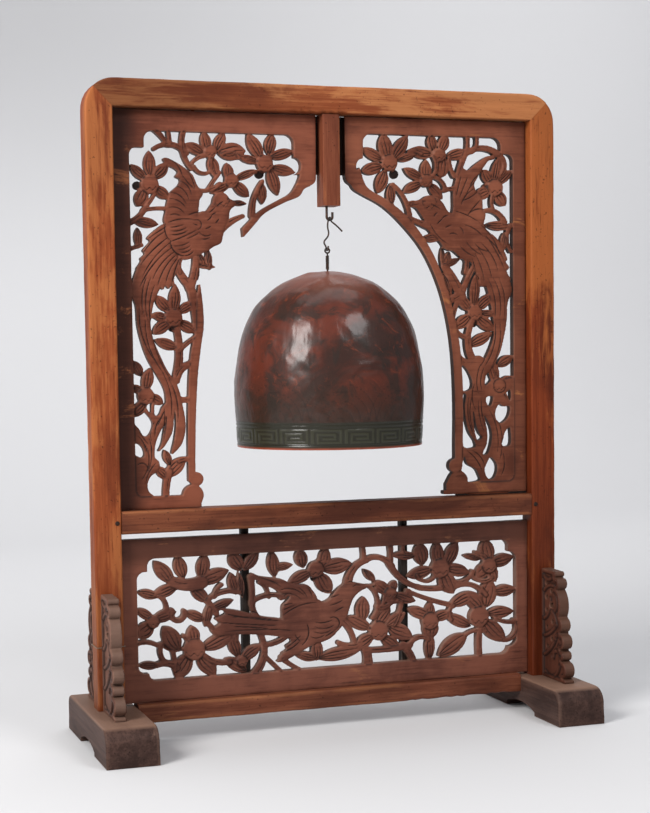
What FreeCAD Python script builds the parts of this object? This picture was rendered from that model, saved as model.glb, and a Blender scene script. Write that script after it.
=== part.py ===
import FreeCAD, Part
import math
import os

# A bronze temple gong hung in a free-standing carved wooden frame.
# Millimetres. X runs across the frame, +Y away from the viewer, +Z up.
# The origin is on the floor, midway between the two feet, and midway between
# the front of the feet and the back of the bell.

V = FreeCAD.Vector

# ---- frame ----
frame_width = 540.0
frame_height = 707.0
post_y = 2.0
foot_y = -4.0                    # the middle of the feet is a little in front of the posts
post_width = 30.0
post_depth = 27.0
post_ease = 2.5
top_rail_height = 30.0
corner_radius = 32.0
mid_rail_bottom = 227.5
mid_rail_top = 252.5
bottom_rail_bottom = 22.0
bottom_rail_top = 43.0
bottom_rail_depth = 24.0
tenon_length = 12.0
tenon_margin = 6.0

# ---- feet ----
foot_length = 207.0
foot_width = 56.0
foot_height = 40.0
foot_x = 254.0
foot_front_radius = 18.0
foot_back_radius = 12.0
arch_centre = -7.0
arch_half = 37.0
arch_side = 4.0
arch_height = 11.0
post_tenon_depth = 26.0
mortise_front_gap = 3.0
mortise_gap_depth = 6.0

# ---- carved boards ----
board_front = post_y - 1.0
board_thickness = 10.0
board_back = board_front + board_thickness
smallest_piercing = 6.0          # square millimetres
joining_radius = 1.2             # of the disc that joins two shapes which only touch
upper_board_top = 676.0
left_board_bottom = 252.7
shim_height = 2.0
lower_board_bottom = 43.2
lower_board_top = 220.5
left_board_end = -13.0
right_board_end = 21.0

# ---- hanging block, hook and wires ----
block_x = 2.0
block_width = 20.0
block_bottom = 578.0
block_front = post_y - 10.0
hook_wire = 1.4                  # radius of the hook's wire
hook_bend = 3.3                  # radius of the hook's bend, at the middle of its wire
hook_centre_x = 2.2
hook_centre_z = 566.5
hanger_wire = 0.9
eye_z = 530.0
eye_ring = 2.6
bell_x = -1.0

# ---- bell ----
bell_wall = 2.6
bell_profile = [(0.0, 507.0), (24.0, 505.2), (50.0, 495.5), (74.0, 477.5), (91.0, 452.0),
                (101.0, 419.0), (105.6, 378.0), (104.6, 345.0), (102.4, 315.5)]
crown_hole = 1.5
washer_radius = 9.0
washer_thickness = 1.5

washer_drop = 3.4                # from the bell's top to the washer's upper face
knot_radius = 2.6
binding_wire = 0.55
binding_top = 524.4
binding_bottom = 508.4
hook_thread_length = 14.0
hook_tip_z = 571.5
hanger_low_reach = 3.4
wire_clearance = 0.35

# ---- fastenings ----
pin_radius = 2.0
pin_reach = 10.0
pin_forward = 30.0
mitre_dowel_reach = 9.0
dowel_radius = 2.0
dowel_reach = 8.0
dowel_heights = (90.0, 190.0, 330.0, 600.0)
top_dowel_spots = (-150.0, 150.0)
nail_inset = 5.0
nail_radius = 1.0
nail_length = 22.0
nail_head_radius = 2.4
nail_head_thickness = 0.8
batten_width = 8.5
batten_depth = 10.0
batten_centres = (-98.0, 90.0)
batten_nail_heights = (55.0, 210.0)
screw_radius = 2.0
screw_head_radius = 4.0
screw_head_height = 3.0
screw_length = 55.0
right_shim_start = 153.0
foot_ease = 2.0
mortise_gap_inset = 3.0
thread_height = 108.0
thread_radius = 0.35
thread_nick = 1.2                # depth of the nicks for the thread in the lower board and the spandrels

half_width = frame_width / 2
inner_half = half_width - post_width
post_front = post_y - post_depth / 2
post_back = post_y + post_depth / 2
rail_bottom = frame_height - top_rail_height
post_centre_x = half_width - post_width / 2
saddle_z = hook_centre_z - hook_bend
hook_shank_x = hook_centre_x - hook_bend
block_centre_y = (block_front + post_back) / 2
bell_top = bell_profile[0][1]
rim_radius, rim_z = bell_profile[-1]

# ---- carving, left upper board: x and z in the frame's own axes ----
# A leaf runs from its base to its tip: base x, base z, tip x, tip z, width.
left_leaves = [
    (-198, 605, -199, 634, 13), (-202, 602, -220, 619, 11), (-194, 604, -179, 621, 13),
    (-203, 594, -213, 575, 15), (-194, 596, -178, 584, 12), (-218, 560, -190, 556, 11),
    (-213, 553, -212, 531, 9), (-134, 634, -139, 656, 12), (-126, 634, -116, 656, 12),
    (-124, 634, -92, 636, 19), (-137, 632, -160, 642, 12), (-132, 630, -125, 608, 13),
    (-73, 627, -90, 655, 15), (-66, 632, -62, 656, 13), (-66, 630, -37, 637, 12),
    (-66, 619, -36, 614, 12), (-66, 620, -56, 589, 14), (-75, 624, -101, 630, 9),
    (-110, 603, -114, 623, 12), (-106, 605, -79, 616, 9), (-107, 603, -89, 587, 12),
    (-108, 602, -132, 590, 10), (-75, 604, -74, 579, 11), (-175, 461, -173, 493, 13),
    (-179, 463, -195, 481, 12), (-182, 456, -199, 461, 10), (-170, 462, -153, 474, 11),
    (-171, 454, -151, 441, 12), (-179, 454, -199, 440, 13), (-170, 424, -197, 434, 12),
    (-209, 378, -202, 404, 13), (-211, 395, -222, 412, 11), (-210, 378, -224, 385, 9),
    (-204, 375, -189, 365, 11), (-207, 369, -223, 352, 13), (-206, 300, -223, 305, 11),
    (-212, 288, -197, 307, 11), (-182, 298, -189, 316, 9), (-188, 286, -165, 307, 15),
    (-184, 285, -199, 300, 11), (-207, 334, -195, 348, 9),
    (-181, 540, -222, 487, 15), (-178, 545, -217, 511, 15), (-172, 550, -214, 530, 14),
    (-170, 552, -208, 545, 12), (-172, 540, -190, 486, 13), (-160, 548, -184, 487, 13),
    (-160, 545, -171, 505, 12),
    (-172, 555, -178, 590, 15), (-166, 560, -171, 603, 15), (-156, 562, -164, 606, 18),
    (-152, 562, -145, 592, 17), (-152, 585, -176, 618, 13), (-152, 598, -185, 628, 10),
    (-143, 592, -168, 622, 10),
    (-118, 585, -92, 579, 7), (-146, 526, -140, 512, 7), (-137, 532, -134, 508, 7),
    (-152, 515, -128, 511, 7), (-148, 497, -150, 520, 6)]
# A branch bends through its middle point: start, middle, end, start width, end width.
left_branches = [
    (-193, 636, -178, 641, -158, 632, 5, 6), (-160, 658, -163, 640, -153, 616, 6, 5),
    (-193, 657, -184, 648, -178, 640, 6, 4), (-178, 657, -177, 650, -176, 640, 5, 4),
    (-206, 571, -194, 573, -180, 573, 4, 4), (-207, 571, -199, 580, -194, 588, 4, 4),
    (-226, 556, -214, 562, -204, 573, 7, 5), (-224, 529, -216, 532, -209, 534, 5, 4),
    (-145, 593, -132, 594, -122, 600, 4, 5), (-135, 594, -128, 604, -122, 612, 4, 4),
    (-150, 618, -144, 612, -134, 612, 4, 4), (-152, 622, -144, 628, -138, 630, 4, 5),
    (-86, 567, -82, 590, -74, 604, 7, 4), (-120, 553, -110, 560, -97, 566, 9, 5),
    (-100, 629, -110, 634, -118, 632, 4, 4),
    (-169, 507, -163, 498, -157, 491, 8, 9), (-150, 520, -152, 503, -157, 489, 7, 9),
    (-166, 522, -169, 512, -168, 505, 5, 5), (-157, 493, -152, 470, -149, 445, 9, 10),
    (-176, 493, -177, 499, -174, 508, 4, 4), (-173, 449, -170, 425, -173, 396, 7, 9),
    (-171, 421, -162, 429, -150, 437, 5, 5), (-174, 390, -168, 402, -155, 408, 8, 7),
    (-176, 372, -166, 369, -157, 371, 8, 7), (-210, 364, -201, 353, -187, 361, 6, 7),
    (-201, 372, -200, 362, -200, 354, 4, 4), (-189, 362, -198, 338, -210, 300, 12, 16),
    (-224, 345, -215, 334, -204, 327, 7, 8), (-222, 322, -214, 316, -207, 310, 5, 7),
    (-184, 290, -187, 278, -189, 262, 7, 9), (-171, 303, -164, 305, -156, 305, 6, 5),
    (-214, 298, -219, 282, -224, 262, 13, 20), (-131, 626, -131, 618, -128, 610, 4, 4),
    (-209, 460, -203, 459, -196, 459, 5, 4)]
# A disc is a flower's heart, a knob or a scroll: centre x, centre z, radius.
left_discs = [
    (-199, 598, 9.5), (-132, 634, 6.5), (-71, 623, 9), (-109, 604, 7.5), (-176, 457, 9.5),
    (-208, 374, 9), (-212, 597, 4.5), (-76, 612, 5), (-176, 447, 5), (-121, 582, 9)]
# Smooth closed shapes: the bird's body with neck and head, and its long tail.
left_body = [(-112, 585), (-116, 590), (-122, 588), (-132, 577), (-143, 571), (-158, 576), (-176, 570),
             (-181, 552), (-172, 536), (-160, 526), (-146, 528), (-131, 533), (-123, 545),
             (-118, 560), (-110, 574)]
left_tail = [(-222, 488), (-208, 520), (-180, 536), (-170, 512), (-190, 488), (-199, 466), (-200, 440),
             (-186, 405), (-169, 385), (-166, 355), (-174, 322), (-181, 312), (-176, 330), (-179, 352),
             (-186, 330), (-194, 315), (-190, 340), (-187, 362), (-189, 388), (-206, 415),
             (-215, 445), (-217, 470)]
# Straight-sided parts of the border: low x, low z, high x, high z.
left_border = [
    (-239.6, 254.0, -221.0, 676.0), (-239.6, 654.5, -13.0, 676.0), (-239.6, 252.7, -149.0, 266.0),
    (-222.0, 637.0, -203.0, 660.0), (-38.0, 640.0, -13.0, 676.0), (-30.0, 610.0, -13.0, 660.0)]
left_border_discs = [
    (-221, 639, 8), (-203, 655, 8), (-38, 655, 7), (-22, 609, 9), (-153, 283.5, 5.5), (-158, 264, 10)]
# The arch over the bell, broken off at its lower end, and the upright strip below the break.
left_arch_outer = [(-20, 599.5), (-27, 596), (-33, 588), (-50, 581), (-72, 569.5), (-84, 557), (-97, 543)]
left_arch_inner = [(-30, 622), (-32, 609), (-41, 593), (-53, 585.5), (-72, 575.5), (-84, 566.5), (-98, 553)]
left_strip_outer = [(-146, 493), (-143.5, 470), (-143, 448), (-147, 422), (-151, 390), (-154, 340),
                    (-155.5, 282)]
left_strip_inner = [(-148, 492), (-150.5, 470), (-151.5, 445), (-157, 422), (-160.5, 390), (-162.5, 340),
                    (-163, 280)]

# ---- carving, right upper board ----
right_leaves = [
    (72, 629, 67, 660, 17), (78, 630, 96, 658, 15), (68, 629, 41, 643, 12), (67, 624, 41, 617, 14),
    (70, 620, 60, 593, 15), (76, 605, 75, 578, 11), (84, 630, 106, 637, 9),
    (127, 637, 99, 642, 14), (127, 640, 124, 661, 12), (136, 640, 143, 660, 14),
    (143, 636, 170, 641, 13), (138, 636, 137, 612, 17), (118, 608, 118, 632, 13),
    (115, 609, 91, 622, 11), (114, 607, 90, 595, 12), (121, 606, 138, 588, 12),
    (200, 604, 208, 637, 12), (200, 606, 187, 622, 13), (203, 606, 224, 622, 12),
    (196, 600, 179, 591, 14), (203, 598, 216, 582, 15), (190, 560, 222, 558, 11),
    (214, 552, 213, 531, 9), (113, 544, 136, 545, 10),
    (175, 465, 178, 505, 13), (178, 463, 199, 482, 12), (182, 460, 202, 459, 9),
    (172, 463, 156, 479, 13), (173, 458, 151, 443, 14), (178, 457, 200, 440, 14),
    (168, 422, 199, 438, 13), (203, 378, 197, 407, 13), (204, 399, 224, 411, 12),
    (208, 380, 224, 387, 9), (187, 375, 214, 374, 13), (208, 372, 222, 358, 12),
    (190, 290, 187, 318, 12), (204, 300, 196, 330, 14),
    (181, 540, 222, 487, 15), (178, 545, 219, 514, 15), (172, 550, 216, 528, 14),
    (176, 540, 192, 490, 13), (168, 545, 181, 490, 13), (164, 545, 176, 505, 12),
    (166, 562, 178, 612, 15), (160, 562, 171, 614, 16), (154, 560, 162, 622, 15),
    (153, 565, 158, 600, 14), (172, 555, 187, 584, 14), (162, 600, 190, 636, 10),
    (156, 598, 176, 624, 12), (182, 552, 209, 541, 12), (150, 590, 154, 618, 9),
    (118, 585, 95, 580, 7), (146, 530, 141, 512, 8), (137, 535, 140, 505, 8),
    (160, 522, 135, 512, 8), (137, 506, 148, 479, 9)]
right_branches = [
    (78, 603, 90, 590, 98, 563, 5, 6), (95, 567, 108, 562, 124, 556, 5, 8),
    (98, 640, 106, 641, 112, 638, 5, 5), (168, 661, 169, 650, 167, 640, 5, 5),
    (179, 661, 180, 650, 174, 641, 4, 4), (166, 640, 160, 625, 156, 614, 7, 6),
    (168, 640, 190, 646, 206, 640, 6, 7), (206, 640, 214, 630, 208, 615, 7, 5),
    (176, 612, 184, 628, 200, 636, 4, 5), (127, 636, 130, 622, 124, 612, 5, 4),
    (124, 612, 134, 610, 141, 598, 4, 5), (140, 598, 150, 600, 158, 600, 5, 5),
    (146, 634, 148, 622, 152, 614, 4, 5), (190, 576, 202, 575, 214, 563, 5, 7),
    (201, 597, 198, 585, 201, 576, 4, 4), (222, 560, 218, 552, 222, 530, 5, 4),
    (140, 512, 152, 495, 160, 478, 9, 12), (176, 514, 168, 500, 162, 486, 6, 7),
    (166, 528, 167, 516, 165, 506, 5, 5), (160, 482, 152, 478, 144, 474, 9, 8),
    (158, 480, 152, 466, 148, 452, 6, 6), (174, 452, 168, 436, 172, 410, 6, 9),
    (168, 432, 158, 436, 150, 445, 5, 5), (172, 402, 162, 404, 150, 414, 10, 8),
    (170, 402, 182, 385, 178, 360, 22, 18), (150, 370, 164, 370, 178, 374, 7, 10),
    (184, 378, 196, 364, 200, 352, 14, 8), (200, 356, 206, 358, 212, 362, 6, 6),
    (166, 372, 163, 345, 176, 314, 8, 10), (178, 366, 176, 340, 191, 316, 9, 8),
    (186, 366, 198, 340, 200, 310, 14, 12), (200, 334, 213, 336, 224, 344, 9, 7),
    (150, 303, 166, 304, 192, 304, 9, 14), (160, 300, 172, 288, 184, 262, 12, 10),
    (200, 312, 208, 290, 214, 262, 16, 26), (222, 308, 214, 306, 206, 304, 7, 9)]
right_discs = [
    (74, 627, 9), (134, 637, 7.5), (118, 608, 7), (202, 602, 9.5), (176, 461, 8.5), (206, 377, 8),
    (81, 615, 5), (192, 602, 4.5), (176, 449, 5), (121, 583, 9)]
right_body = [(110, 586), (116, 592), (122, 590), (133, 580), (144, 573), (158, 577), (176, 570),
              (190, 552), (183, 530), (166, 521), (148, 526), (132, 535), (122, 546),
              (115, 562), (107, 575)]
right_tail = [(222, 490), (208, 522), (184, 536), (174, 512), (190, 492), (197, 466), (200, 436),
              (190, 410), (176, 388), (190, 390), (206, 412), (215, 445), (217, 470)]
right_border = [
    (224.0, 256.0, 239.6, 676.0), (21.0, 658.0, 239.6, 676.0), (139.0, 254.7, 239.6, 267.0),
    (21.0, 610.0, 34.0, 676.0), (21.0, 641.0, 42.0, 676.0), (209.0, 642.0, 230.0, 664.0)]
right_border_discs = [
    (224, 641, 8), (209, 658, 8), (42, 658, 7), (30, 611, 9), (149, 288, 7), (151, 274, 9), (148, 264, 9)]
right_arch_outer = [(27, 604), (31, 597), (41, 591), (66, 578), (90, 557), (113, 529.5), (130.5, 494.5),
                    (141.5, 457), (148, 415), (150.5, 360), (150, 290)]
right_arch_inner = [(38, 622), (43, 606), (50, 597), (72, 585), (97, 565.5), (121, 534), (138.5, 497),
                    (150, 459), (158, 415), (160.5, 360), (159, 288)]

# ---- carving, lower board ----
lower_leaves = [
    (-181, 170, -203, 196, 16), (-170, 174, -177, 201, 15), (-151, 173, -145, 201, 15),
    (-197, 157, -222, 163, 11), (-176, 167, -205, 158, 13), (-154, 169, -119, 182, 16),
    (-162, 165, -142, 148, 14), (-112, 154, -117, 179, 12), (-104, 150, -108, 179, 8),
    (-105, 180, -117, 201, 16), (-102, 180, -85, 201, 13), (-66, 170, -70, 201, 14),
    (-70, 180, -45, 184, 9), (-33, 179, -38, 201, 15), (-10, 178, -6, 201, 14),
    (-22, 175, -50, 164, 13), (-18, 173, -1, 149, 18), (-24, 178, 0, 188, 12),
    (-12, 176, 24, 182, 18), (-30, 150, -95, 177, 15), (-35, 140, -70, 160, 14),
    (-60, 118, -133, 138, 14), (-48, 122, -137, 124, 14), (-48, 116, -140, 113, 13),
    (-35, 122, -62, 132, 12), (-28, 112, -58, 82, 15), (-34, 118, -66, 95, 9),
    (-16, 76, -45, 83, 11), (-19, 74, -18, 98, 14), (-20, 76, 36, 84, 15),
    (-109, 80, -83, 97, 13), (-110, 84, -118, 110, 14), (-100, 68, -125, 84, 14),
    (-153, 96, -113, 110, 16), (-159, 101, -162, 123, 15), (-164, 92, -181, 66, 20),
    (-156, 92, -136, 66, 18), (-176, 97, -194, 124, 20), (-171, 97, -199, 106, 11),
    (-198, 82, -223, 83, 9), (-205, 128, -223, 114, 18), (-204, 132, -223, 145, 11),
    (-206, 131, -179, 140, 13), (-146, 128, -169, 138, 12), (-147, 120, -140, 148, 10),
    (-143, 138, -114, 149, 10),
    (35, 113, 38, 143, 17), (38, 174, 52, 159, 9), (70, 145, 50, 159, 14), (70, 145, 77, 159, 10),
    (72, 143, 101, 134, 12), (50, 107, 70, 129, 15), (63, 106, 88, 122, 14), (48, 105, 15, 121, 15),
    (66, 108, 97, 92, 18), (50, 100, 26, 84, 14), (58, 97, 82, 79, 14), (110, 174, 106, 201, 18),
    (103, 186, 72, 188, 10), (129, 172, 128, 201, 15), (138, 171, 153, 200, 15),
    (124, 170, 91, 162, 14), (138, 170, 168, 163, 15), (132, 166, 148, 140, 20),
    (143, 126, 177, 139, 15), (120, 114, 91, 126, 14), (118, 110, 119, 132, 12),
    (120, 112, 147, 118, 12), (120, 112, 118, 90, 19), (170, 100, 139, 115, 14),
    (183, 118, 165, 140, 17), (181, 108, 213, 80, 20), (188, 114, 224, 115, 14),
    (196, 138, 227, 141, 14), (188, 120, 194, 154, 22), (192, 172, 188, 201, 19),
    (192, 171, 224, 179, 15), (194, 172, 176, 156, 16), (192, 174, 201, 150, 14),
    (184, 178, 160, 183, 8), (117, 63, 119, 98, 12), (128, 68, 165, 92, 20)]
lower_branches = [
    (-182, 172, -168, 168, -150, 170, 12, 14), (-197, 157, -191, 150, -190, 142, 5, 5),
    (-184, 141, -180, 130, -170, 139, 6, 6), (-94, 172, -93, 158, -93, 142, 7, 6),
    (-93, 145, -76, 151, -56, 148, 5, 5), (-93, 145, -91, 134, -86, 126, 5, 6),
    (-74, 149, -76, 158, -84, 166, 4, 5), (-60, 147, -52, 152, -46, 158, 5, 6),
    (-84, 108, -80, 88, -92, 64, 6, 9), (-80, 96, -66, 98, -52, 106, 5, 6),
    (-80, 84, -70, 74, -60, 64, 5, 5), (-60, 80, -50, 72, -40, 66, 6, 5),
    (-197, 104, -197, 92, -192, 84, 5, 6), (-184, 96, -182, 84, -182, 76, 5, 5),
    (-201, 104, -212, 108, -224, 107, 5, 5), (-134, 134, -138, 142, -144, 148, 6, 6),
    (-145, 125, -138, 118, -134, 112, 6, 6), (-144, 150, -130, 157, -108, 157, 5, 6),
    (-136, 153, -134, 160, -128, 166, 4, 5), (-113, 118, -112, 112, -113, 104, 5, 6),
    (-150, 90, -138, 82, -120, 80, 6, 6), (-168, 94, -166, 104, -171, 112, 5, 5),
    (19, 158, 27, 176, 42, 184, 10, 6), (40, 184, 58, 186, 72, 176, 6, 7),
    (70, 178, 82, 162, 107, 149, 7, 6), (37, 201, 38, 194, 38, 184, 5, 5),
    (70, 201, 71, 194, 70, 176, 6, 5), (105, 149, 120, 147, 132, 147, 6, 6),
    (91, 146, 120, 134, 147, 126, 5, 6), (44, 154, 54, 142, 48, 118, 4, 5),
    (54, 130, 64, 130, 74, 140, 5, 5), (58, 130, 62, 136, 64, 146, 4, 4),
    (147, 126, 142, 118, 144, 110, 5, 5), (74, 108, 79, 118, 83, 134, 4, 5),
    (40, 82, 42, 74, 42, 64, 9, 11), (38, 82, 66, 81, 93, 84, 6, 7),
    (93, 84, 104, 92, 116, 89, 6, 5), (85, 84, 92, 76, 98, 64, 9, 7),
    (10, 118, 22, 104, 26, 92, 7, 5), (8, 92, 20, 88, 34, 90, 6, 6),
    (180, 97, 179, 80, 180, 62, 7, 7), (163, 91, 173, 95, 187, 94, 4, 5),
    (150, 148, 172, 148, 188, 136, 6, 6), (148, 154, 162, 154, 172, 164, 5, 5),
    (172, 158, 186, 152, 196, 156, 4, 5),
    (210, 82, 226, 90, 224, 104, 5, 5), (200, 108, 212, 103, 228, 103, 5, 4),
    (86, 200, 86, 192, 90, 186, 4, 4), (102, 164, 112, 156, 124, 160, 4, 4),
    (64, 138, 82, 136, 92, 146, 4, 5), (176, 186, 182, 184, 188, 180, 4, 4)]
lower_border = [
    (-239.6, 43.2, -222.5, 220.5), (226.0, 43.2, 239.6, 220.5), (-239.6, 199.0, 239.6, 220.5),
    (-239.6, 43.2, 239.6, 66.0)]
lower_border_discs = [
    (-222, 190, 10), (-211, 199, 9), (-222, 74, 9), (-212, 66, 7), (226, 190, 10), (216, 199, 8),
    (226, 73, 9), (216, 66, 7)]
lower_discs = [
    (-160, 97, 12), (-205, 130, 7), (-19, 177, 9), (55, 103, 11), (131, 170, 11), (179, 111, 12),
    (192, 170, 9), (-106, 80, 6), (118, 110, 10), (-19, 167, 4.5), (62, 94, 4.5), (70, 145, 7)]
lower_body = [(-60, 124), (-58, 143), (-44, 156), (-29, 160), (-22, 150), (-14, 142), (-5, 141), (2, 148),
              (12, 158), (25, 164), (36, 158), (49, 156.5), (38, 153), (28, 148), (21, 136), (17, 122),
              (9, 110), (0, 101), (-16, 95), (-34, 98), (-52, 112)]

# ---- standing spandrels: outline of the front left one, y measured forwards from the post, z up ----
# The scrolled edge is a row of lobes: the lower foot, the crest and the upper foot of each.
spandrel_thickness = 13.0
left_spandrel_x = -258.5
right_spandrel_x = 258.0
spandrel_base = 58.0
spandrel_plinth = 3.0
spandrel_lobes = [((50, 45), (59.5, 54), (50, 63)), ((46, 65), (52.5, 70), (46, 75)),
                  ((44, 78), (54.5, 86), (45, 94)), ((44, 97), (50, 105), (44.5, 112)),
                  ((42, 114), (45.5, 129), (38, 143)), ((36, 145), (41.5, 151), (34, 157)),
                  ((31, 158.5), (34.5, 161.5), (30, 164.5))]
spandrel_top = 165.5
spandrel_holes = [(9, 149, 2.4), (21, 141, 2.4), (9, 133, 2.6), (23, 125, 3.0), (9, 118, 2.4), (24, 106, 2.6),
                  (10, 98, 2.4), (22, 86, 2.4), (11, 76, 2.4), (23, 66, 2.4)]


def arc(first, middle, last):
    """An arc edge through three points, or a straight edge where they are in line."""
    if (middle - first).cross(last - middle).Length < 0.01:
        return Part.LineSegment(first, last).toShape()
    return Part.Arc(first, middle, last).toShape()


def line(first, last):
    """A straight edge."""
    return Part.LineSegment(first, last).toShape()


def plane_point(x, z):
    """A point on the front face of the carved boards."""
    return V(x, board_front, z)


def beam(low, high):
    """A square-edged beam between two corners."""
    size = [high[i] - low[i] for i in range(3)]
    return Part.makeBox(size[0], size[1], size[2], V(*low))


def ease(solid, direction, radius):
    """Round the long edges of a beam that run in one direction."""
    longest = max(edge.Length for edge in solid.Edges)
    picked = []
    for edge in solid.Edges:
        if edge.Length < 0.5 * longest or len(edge.Vertexes) < 2:
            continue
        along = (edge.Vertexes[1].Point - edge.Vertexes[0].Point).normalize()
        if abs(along.dot(direction)) > 0.99:
            picked.append(edge)
    return solid.makeFillet(radius, picked)


def rod(start, direction, radius, length):
    """A round rod or the hole for one."""
    return Part.makeCylinder(radius, length, V(*start), V(*direction))


def save(name, shape):
    """Write one sub-part to its own file."""
    shape.exportStep("parts/" + name + ".step")
    print(name, len(shape.Solids), "solid, volume", round(shape.Volume / 1000.0, 2), "cm3")


# ---------------------------------------------------------------- carved boards

def leaf_face(x0, z0, x1, z1, width):
    """A pointed leaf or petal between two equal arcs."""
    across = V(z1 - z0, 0, x0 - x1).normalize() * (width / 2.0)
    base = plane_point(x0, z0)
    tip = plane_point(x1, z1)
    middle = (base + tip) * 0.5
    edges = [arc(base, middle + across, tip), arc(tip, middle - across, base)]
    return Part.Face(Part.Wire(edges))


def branch_face(x0, z0, xm, zm, x1, z1, start_width, end_width):
    """A branch between two arcs that run beside its middle line."""
    points = [plane_point(x0, z0), plane_point(xm, zm), plane_point(x1, z1)]
    tangents = [points[1] * 4 - points[0] * 3 - points[2], points[2] - points[0],
                points[0] + points[2] * 3 - points[1] * 4]
    widths = [start_width, (start_width + end_width) / 2.0, end_width]
    sides = [[], []]
    for point, tangent, width in zip(points, tangents, widths):
        across = V(tangent.z, 0, -tangent.x).normalize() * (width / 2.0)
        sides[0].append(point + across)
        sides[1].append(point - across)
    edges = [arc(*sides[0]), line(sides[0][2], sides[1][2]), arc(*reversed(sides[1])),
             line(sides[1][0], sides[0][0])]
    return Part.Face(Part.Wire(edges))


def smooth_face(points):
    """A closed shape with a smooth outline."""
    curve = Part.BSplineCurve()
    curve.interpolate([plane_point(x, z) for x, z in points], PeriodicFlag=True)
    return Part.Face(Part.Wire([curve.toShape()]))


def disc_face(x, z, radius):
    """A round piece of the carving."""
    return Part.Face(Part.Wire([Part.makeCircle(radius, plane_point(x, z), V(0, 1, 0))]))


def rectangle_face(x0, z0, x1, z1):
    """A straight-sided part of the board."""
    corners = [plane_point(x0, z0), plane_point(x1, z0), plane_point(x1, z1), plane_point(x0, z1)]
    return Part.Face(Part.makePolygon(corners + corners[:1]))


def ribbon_face(outer, inner):
    """The curved border between two smooth lines."""
    lines = []
    for points in (outer, inner):
        curve = Part.BSplineCurve()
        curve.interpolate([plane_point(x, z) for x, z in points])
        lines.append(curve.toShape())
    starts = [lines[i].valueAt(lines[i].FirstParameter) for i in range(2)]
    ends = [lines[i].valueAt(lines[i].LastParameter) for i in range(2)]
    edges = [lines[0], line(ends[0], ends[1]), lines[1], line(starts[1], starts[0])]
    return Part.Face(Part.Wire(Part.__sortEdges__(edges)))


def carving_faces(leaves, branches, discs):
    """Every leaf, branch and disc of one board."""
    faces = [leaf_face(*values) for values in leaves]
    faces += [branch_face(*values) for values in branches]
    faces += [disc_face(*values) for values in discs]
    return faces


def rim_edges(faces):
    """The edges that bound the union of overlapping faces."""
    uses = {}
    for cell in faces[0].multiFuse(faces[1:]).Faces:
        for edge in cell.Edges:
            uses.setdefault(edge.hashCode(), []).append(edge)
    return [edges[0] for edges in uses.values() if len(edges) == 1]


def touching_points(rim):
    """Points where two parts of the carving only just touch."""
    uses = {}
    for edge in rim:
        for vertex in edge.Vertexes:
            point = (round(vertex.X, 2), round(vertex.Z, 2))
            uses[point] = uses.get(point, 0) + 1
    return [point for point, count in uses.items() if count > 2]


def board(faces):
    """One pierced board from all of its overlapping shapes, with pinholes filled."""
    rim = rim_edges(faces)
    touching = touching_points(rim)
    if touching:
        return board(faces + [disc_face(x, z, joining_radius) for x, z in touching])
    wires = [Part.Wire(edges) for edges in Part.sortEdges(rim)]
    wires = [wire for wire in wires if Part.Face(wire).Area > smallest_piercing]
    outline = Part.makeFace(wires, "Part::FaceMakerBullseye")
    return outline.extrude(V(0, board_thickness, 0))


def upper_left_board():
    """Pierced board with a bird, left of the bell; its arched border is broken."""
    faces = [rectangle_face(*values) for values in left_border]
    faces += carving_faces(left_leaves, left_branches, left_discs + left_border_discs)
    faces += [smooth_face(left_body), smooth_face(left_tail)]
    faces += [ribbon_face(left_arch_outer, left_arch_inner), ribbon_face(left_strip_outer, left_strip_inner)]
    return board(faces)


def upper_right_board():
    """Pierced board with a bird, right of the bell."""
    faces = [rectangle_face(*values) for values in right_border]
    faces += carving_faces(right_leaves, right_branches, right_discs + right_border_discs)
    faces += [smooth_face(right_body), smooth_face(right_tail)]
    faces += [ribbon_face(right_arch_outer, right_arch_inner)]
    return board(faces)


def lower_board():
    """Pierced board with a bird, below the bell."""
    faces = [rectangle_face(*values) for values in lower_border]
    faces += carving_faces(lower_leaves, lower_branches, lower_discs + lower_border_discs)
    faces += [smooth_face(lower_body)]
    return board(faces)


# ---------------------------------------------------------------- frame

def mirrored(solid):
    """The same piece on the other side of the frame."""
    return solid.mirror(V(0, 0, 0), V(1, 0, 0))


def corner_profile():
    """The left post's outline from the front, with its mitre and rounded outer corner."""
    arc_centre = V(-half_width + corner_radius, 0, frame_height - corner_radius)
    diagonal = corner_radius * math.sqrt(0.5)
    mitre_point = arc_centre + V(-diagonal, 0, diagonal)
    arc_middle = arc_centre + V(-math.cos(math.pi / 8), 0, math.sin(math.pi / 8)) * corner_radius
    arc_start = V(-half_width, 0, arc_centre.z)
    return arc_start, arc_middle, mitre_point


def post(side):
    """Upright with a tenon below and a mitred, rounded corner above; side is -1 for the left."""
    arc_start, arc_middle, mitre_point = corner_profile()
    foot_outer = V(-half_width, 0, foot_height)
    foot_inner = V(-inner_half, 0, foot_height)
    mitre_inner = V(-inner_half, 0, rail_bottom)
    edges = [line(foot_outer, arc_start), arc(arc_start, arc_middle, mitre_point),
             line(mitre_point, mitre_inner), line(mitre_inner, foot_inner), line(foot_inner, foot_outer)]
    face = Part.Face(Part.Wire(edges))
    face.translate(V(0, post_front, 0))
    solid = ease(face.extrude(V(0, post_depth, 0)), V(0, 0, 1), post_ease)
    tenon = beam((-half_width + tenon_margin, post_front + tenon_margin, foot_height - post_tenon_depth),
                 (-inner_half - tenon_margin, post_back - tenon_margin, foot_height + 1.0))
    solid = solid.fuse(tenon)
    if side > 0:
        solid = mirrored(solid)
    bores = [rail_tenon(side), mitre_dowel(side), *rail_nails(side), *board_dowels(side)]
    return solid.cut(bores).removeSplitter()


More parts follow.
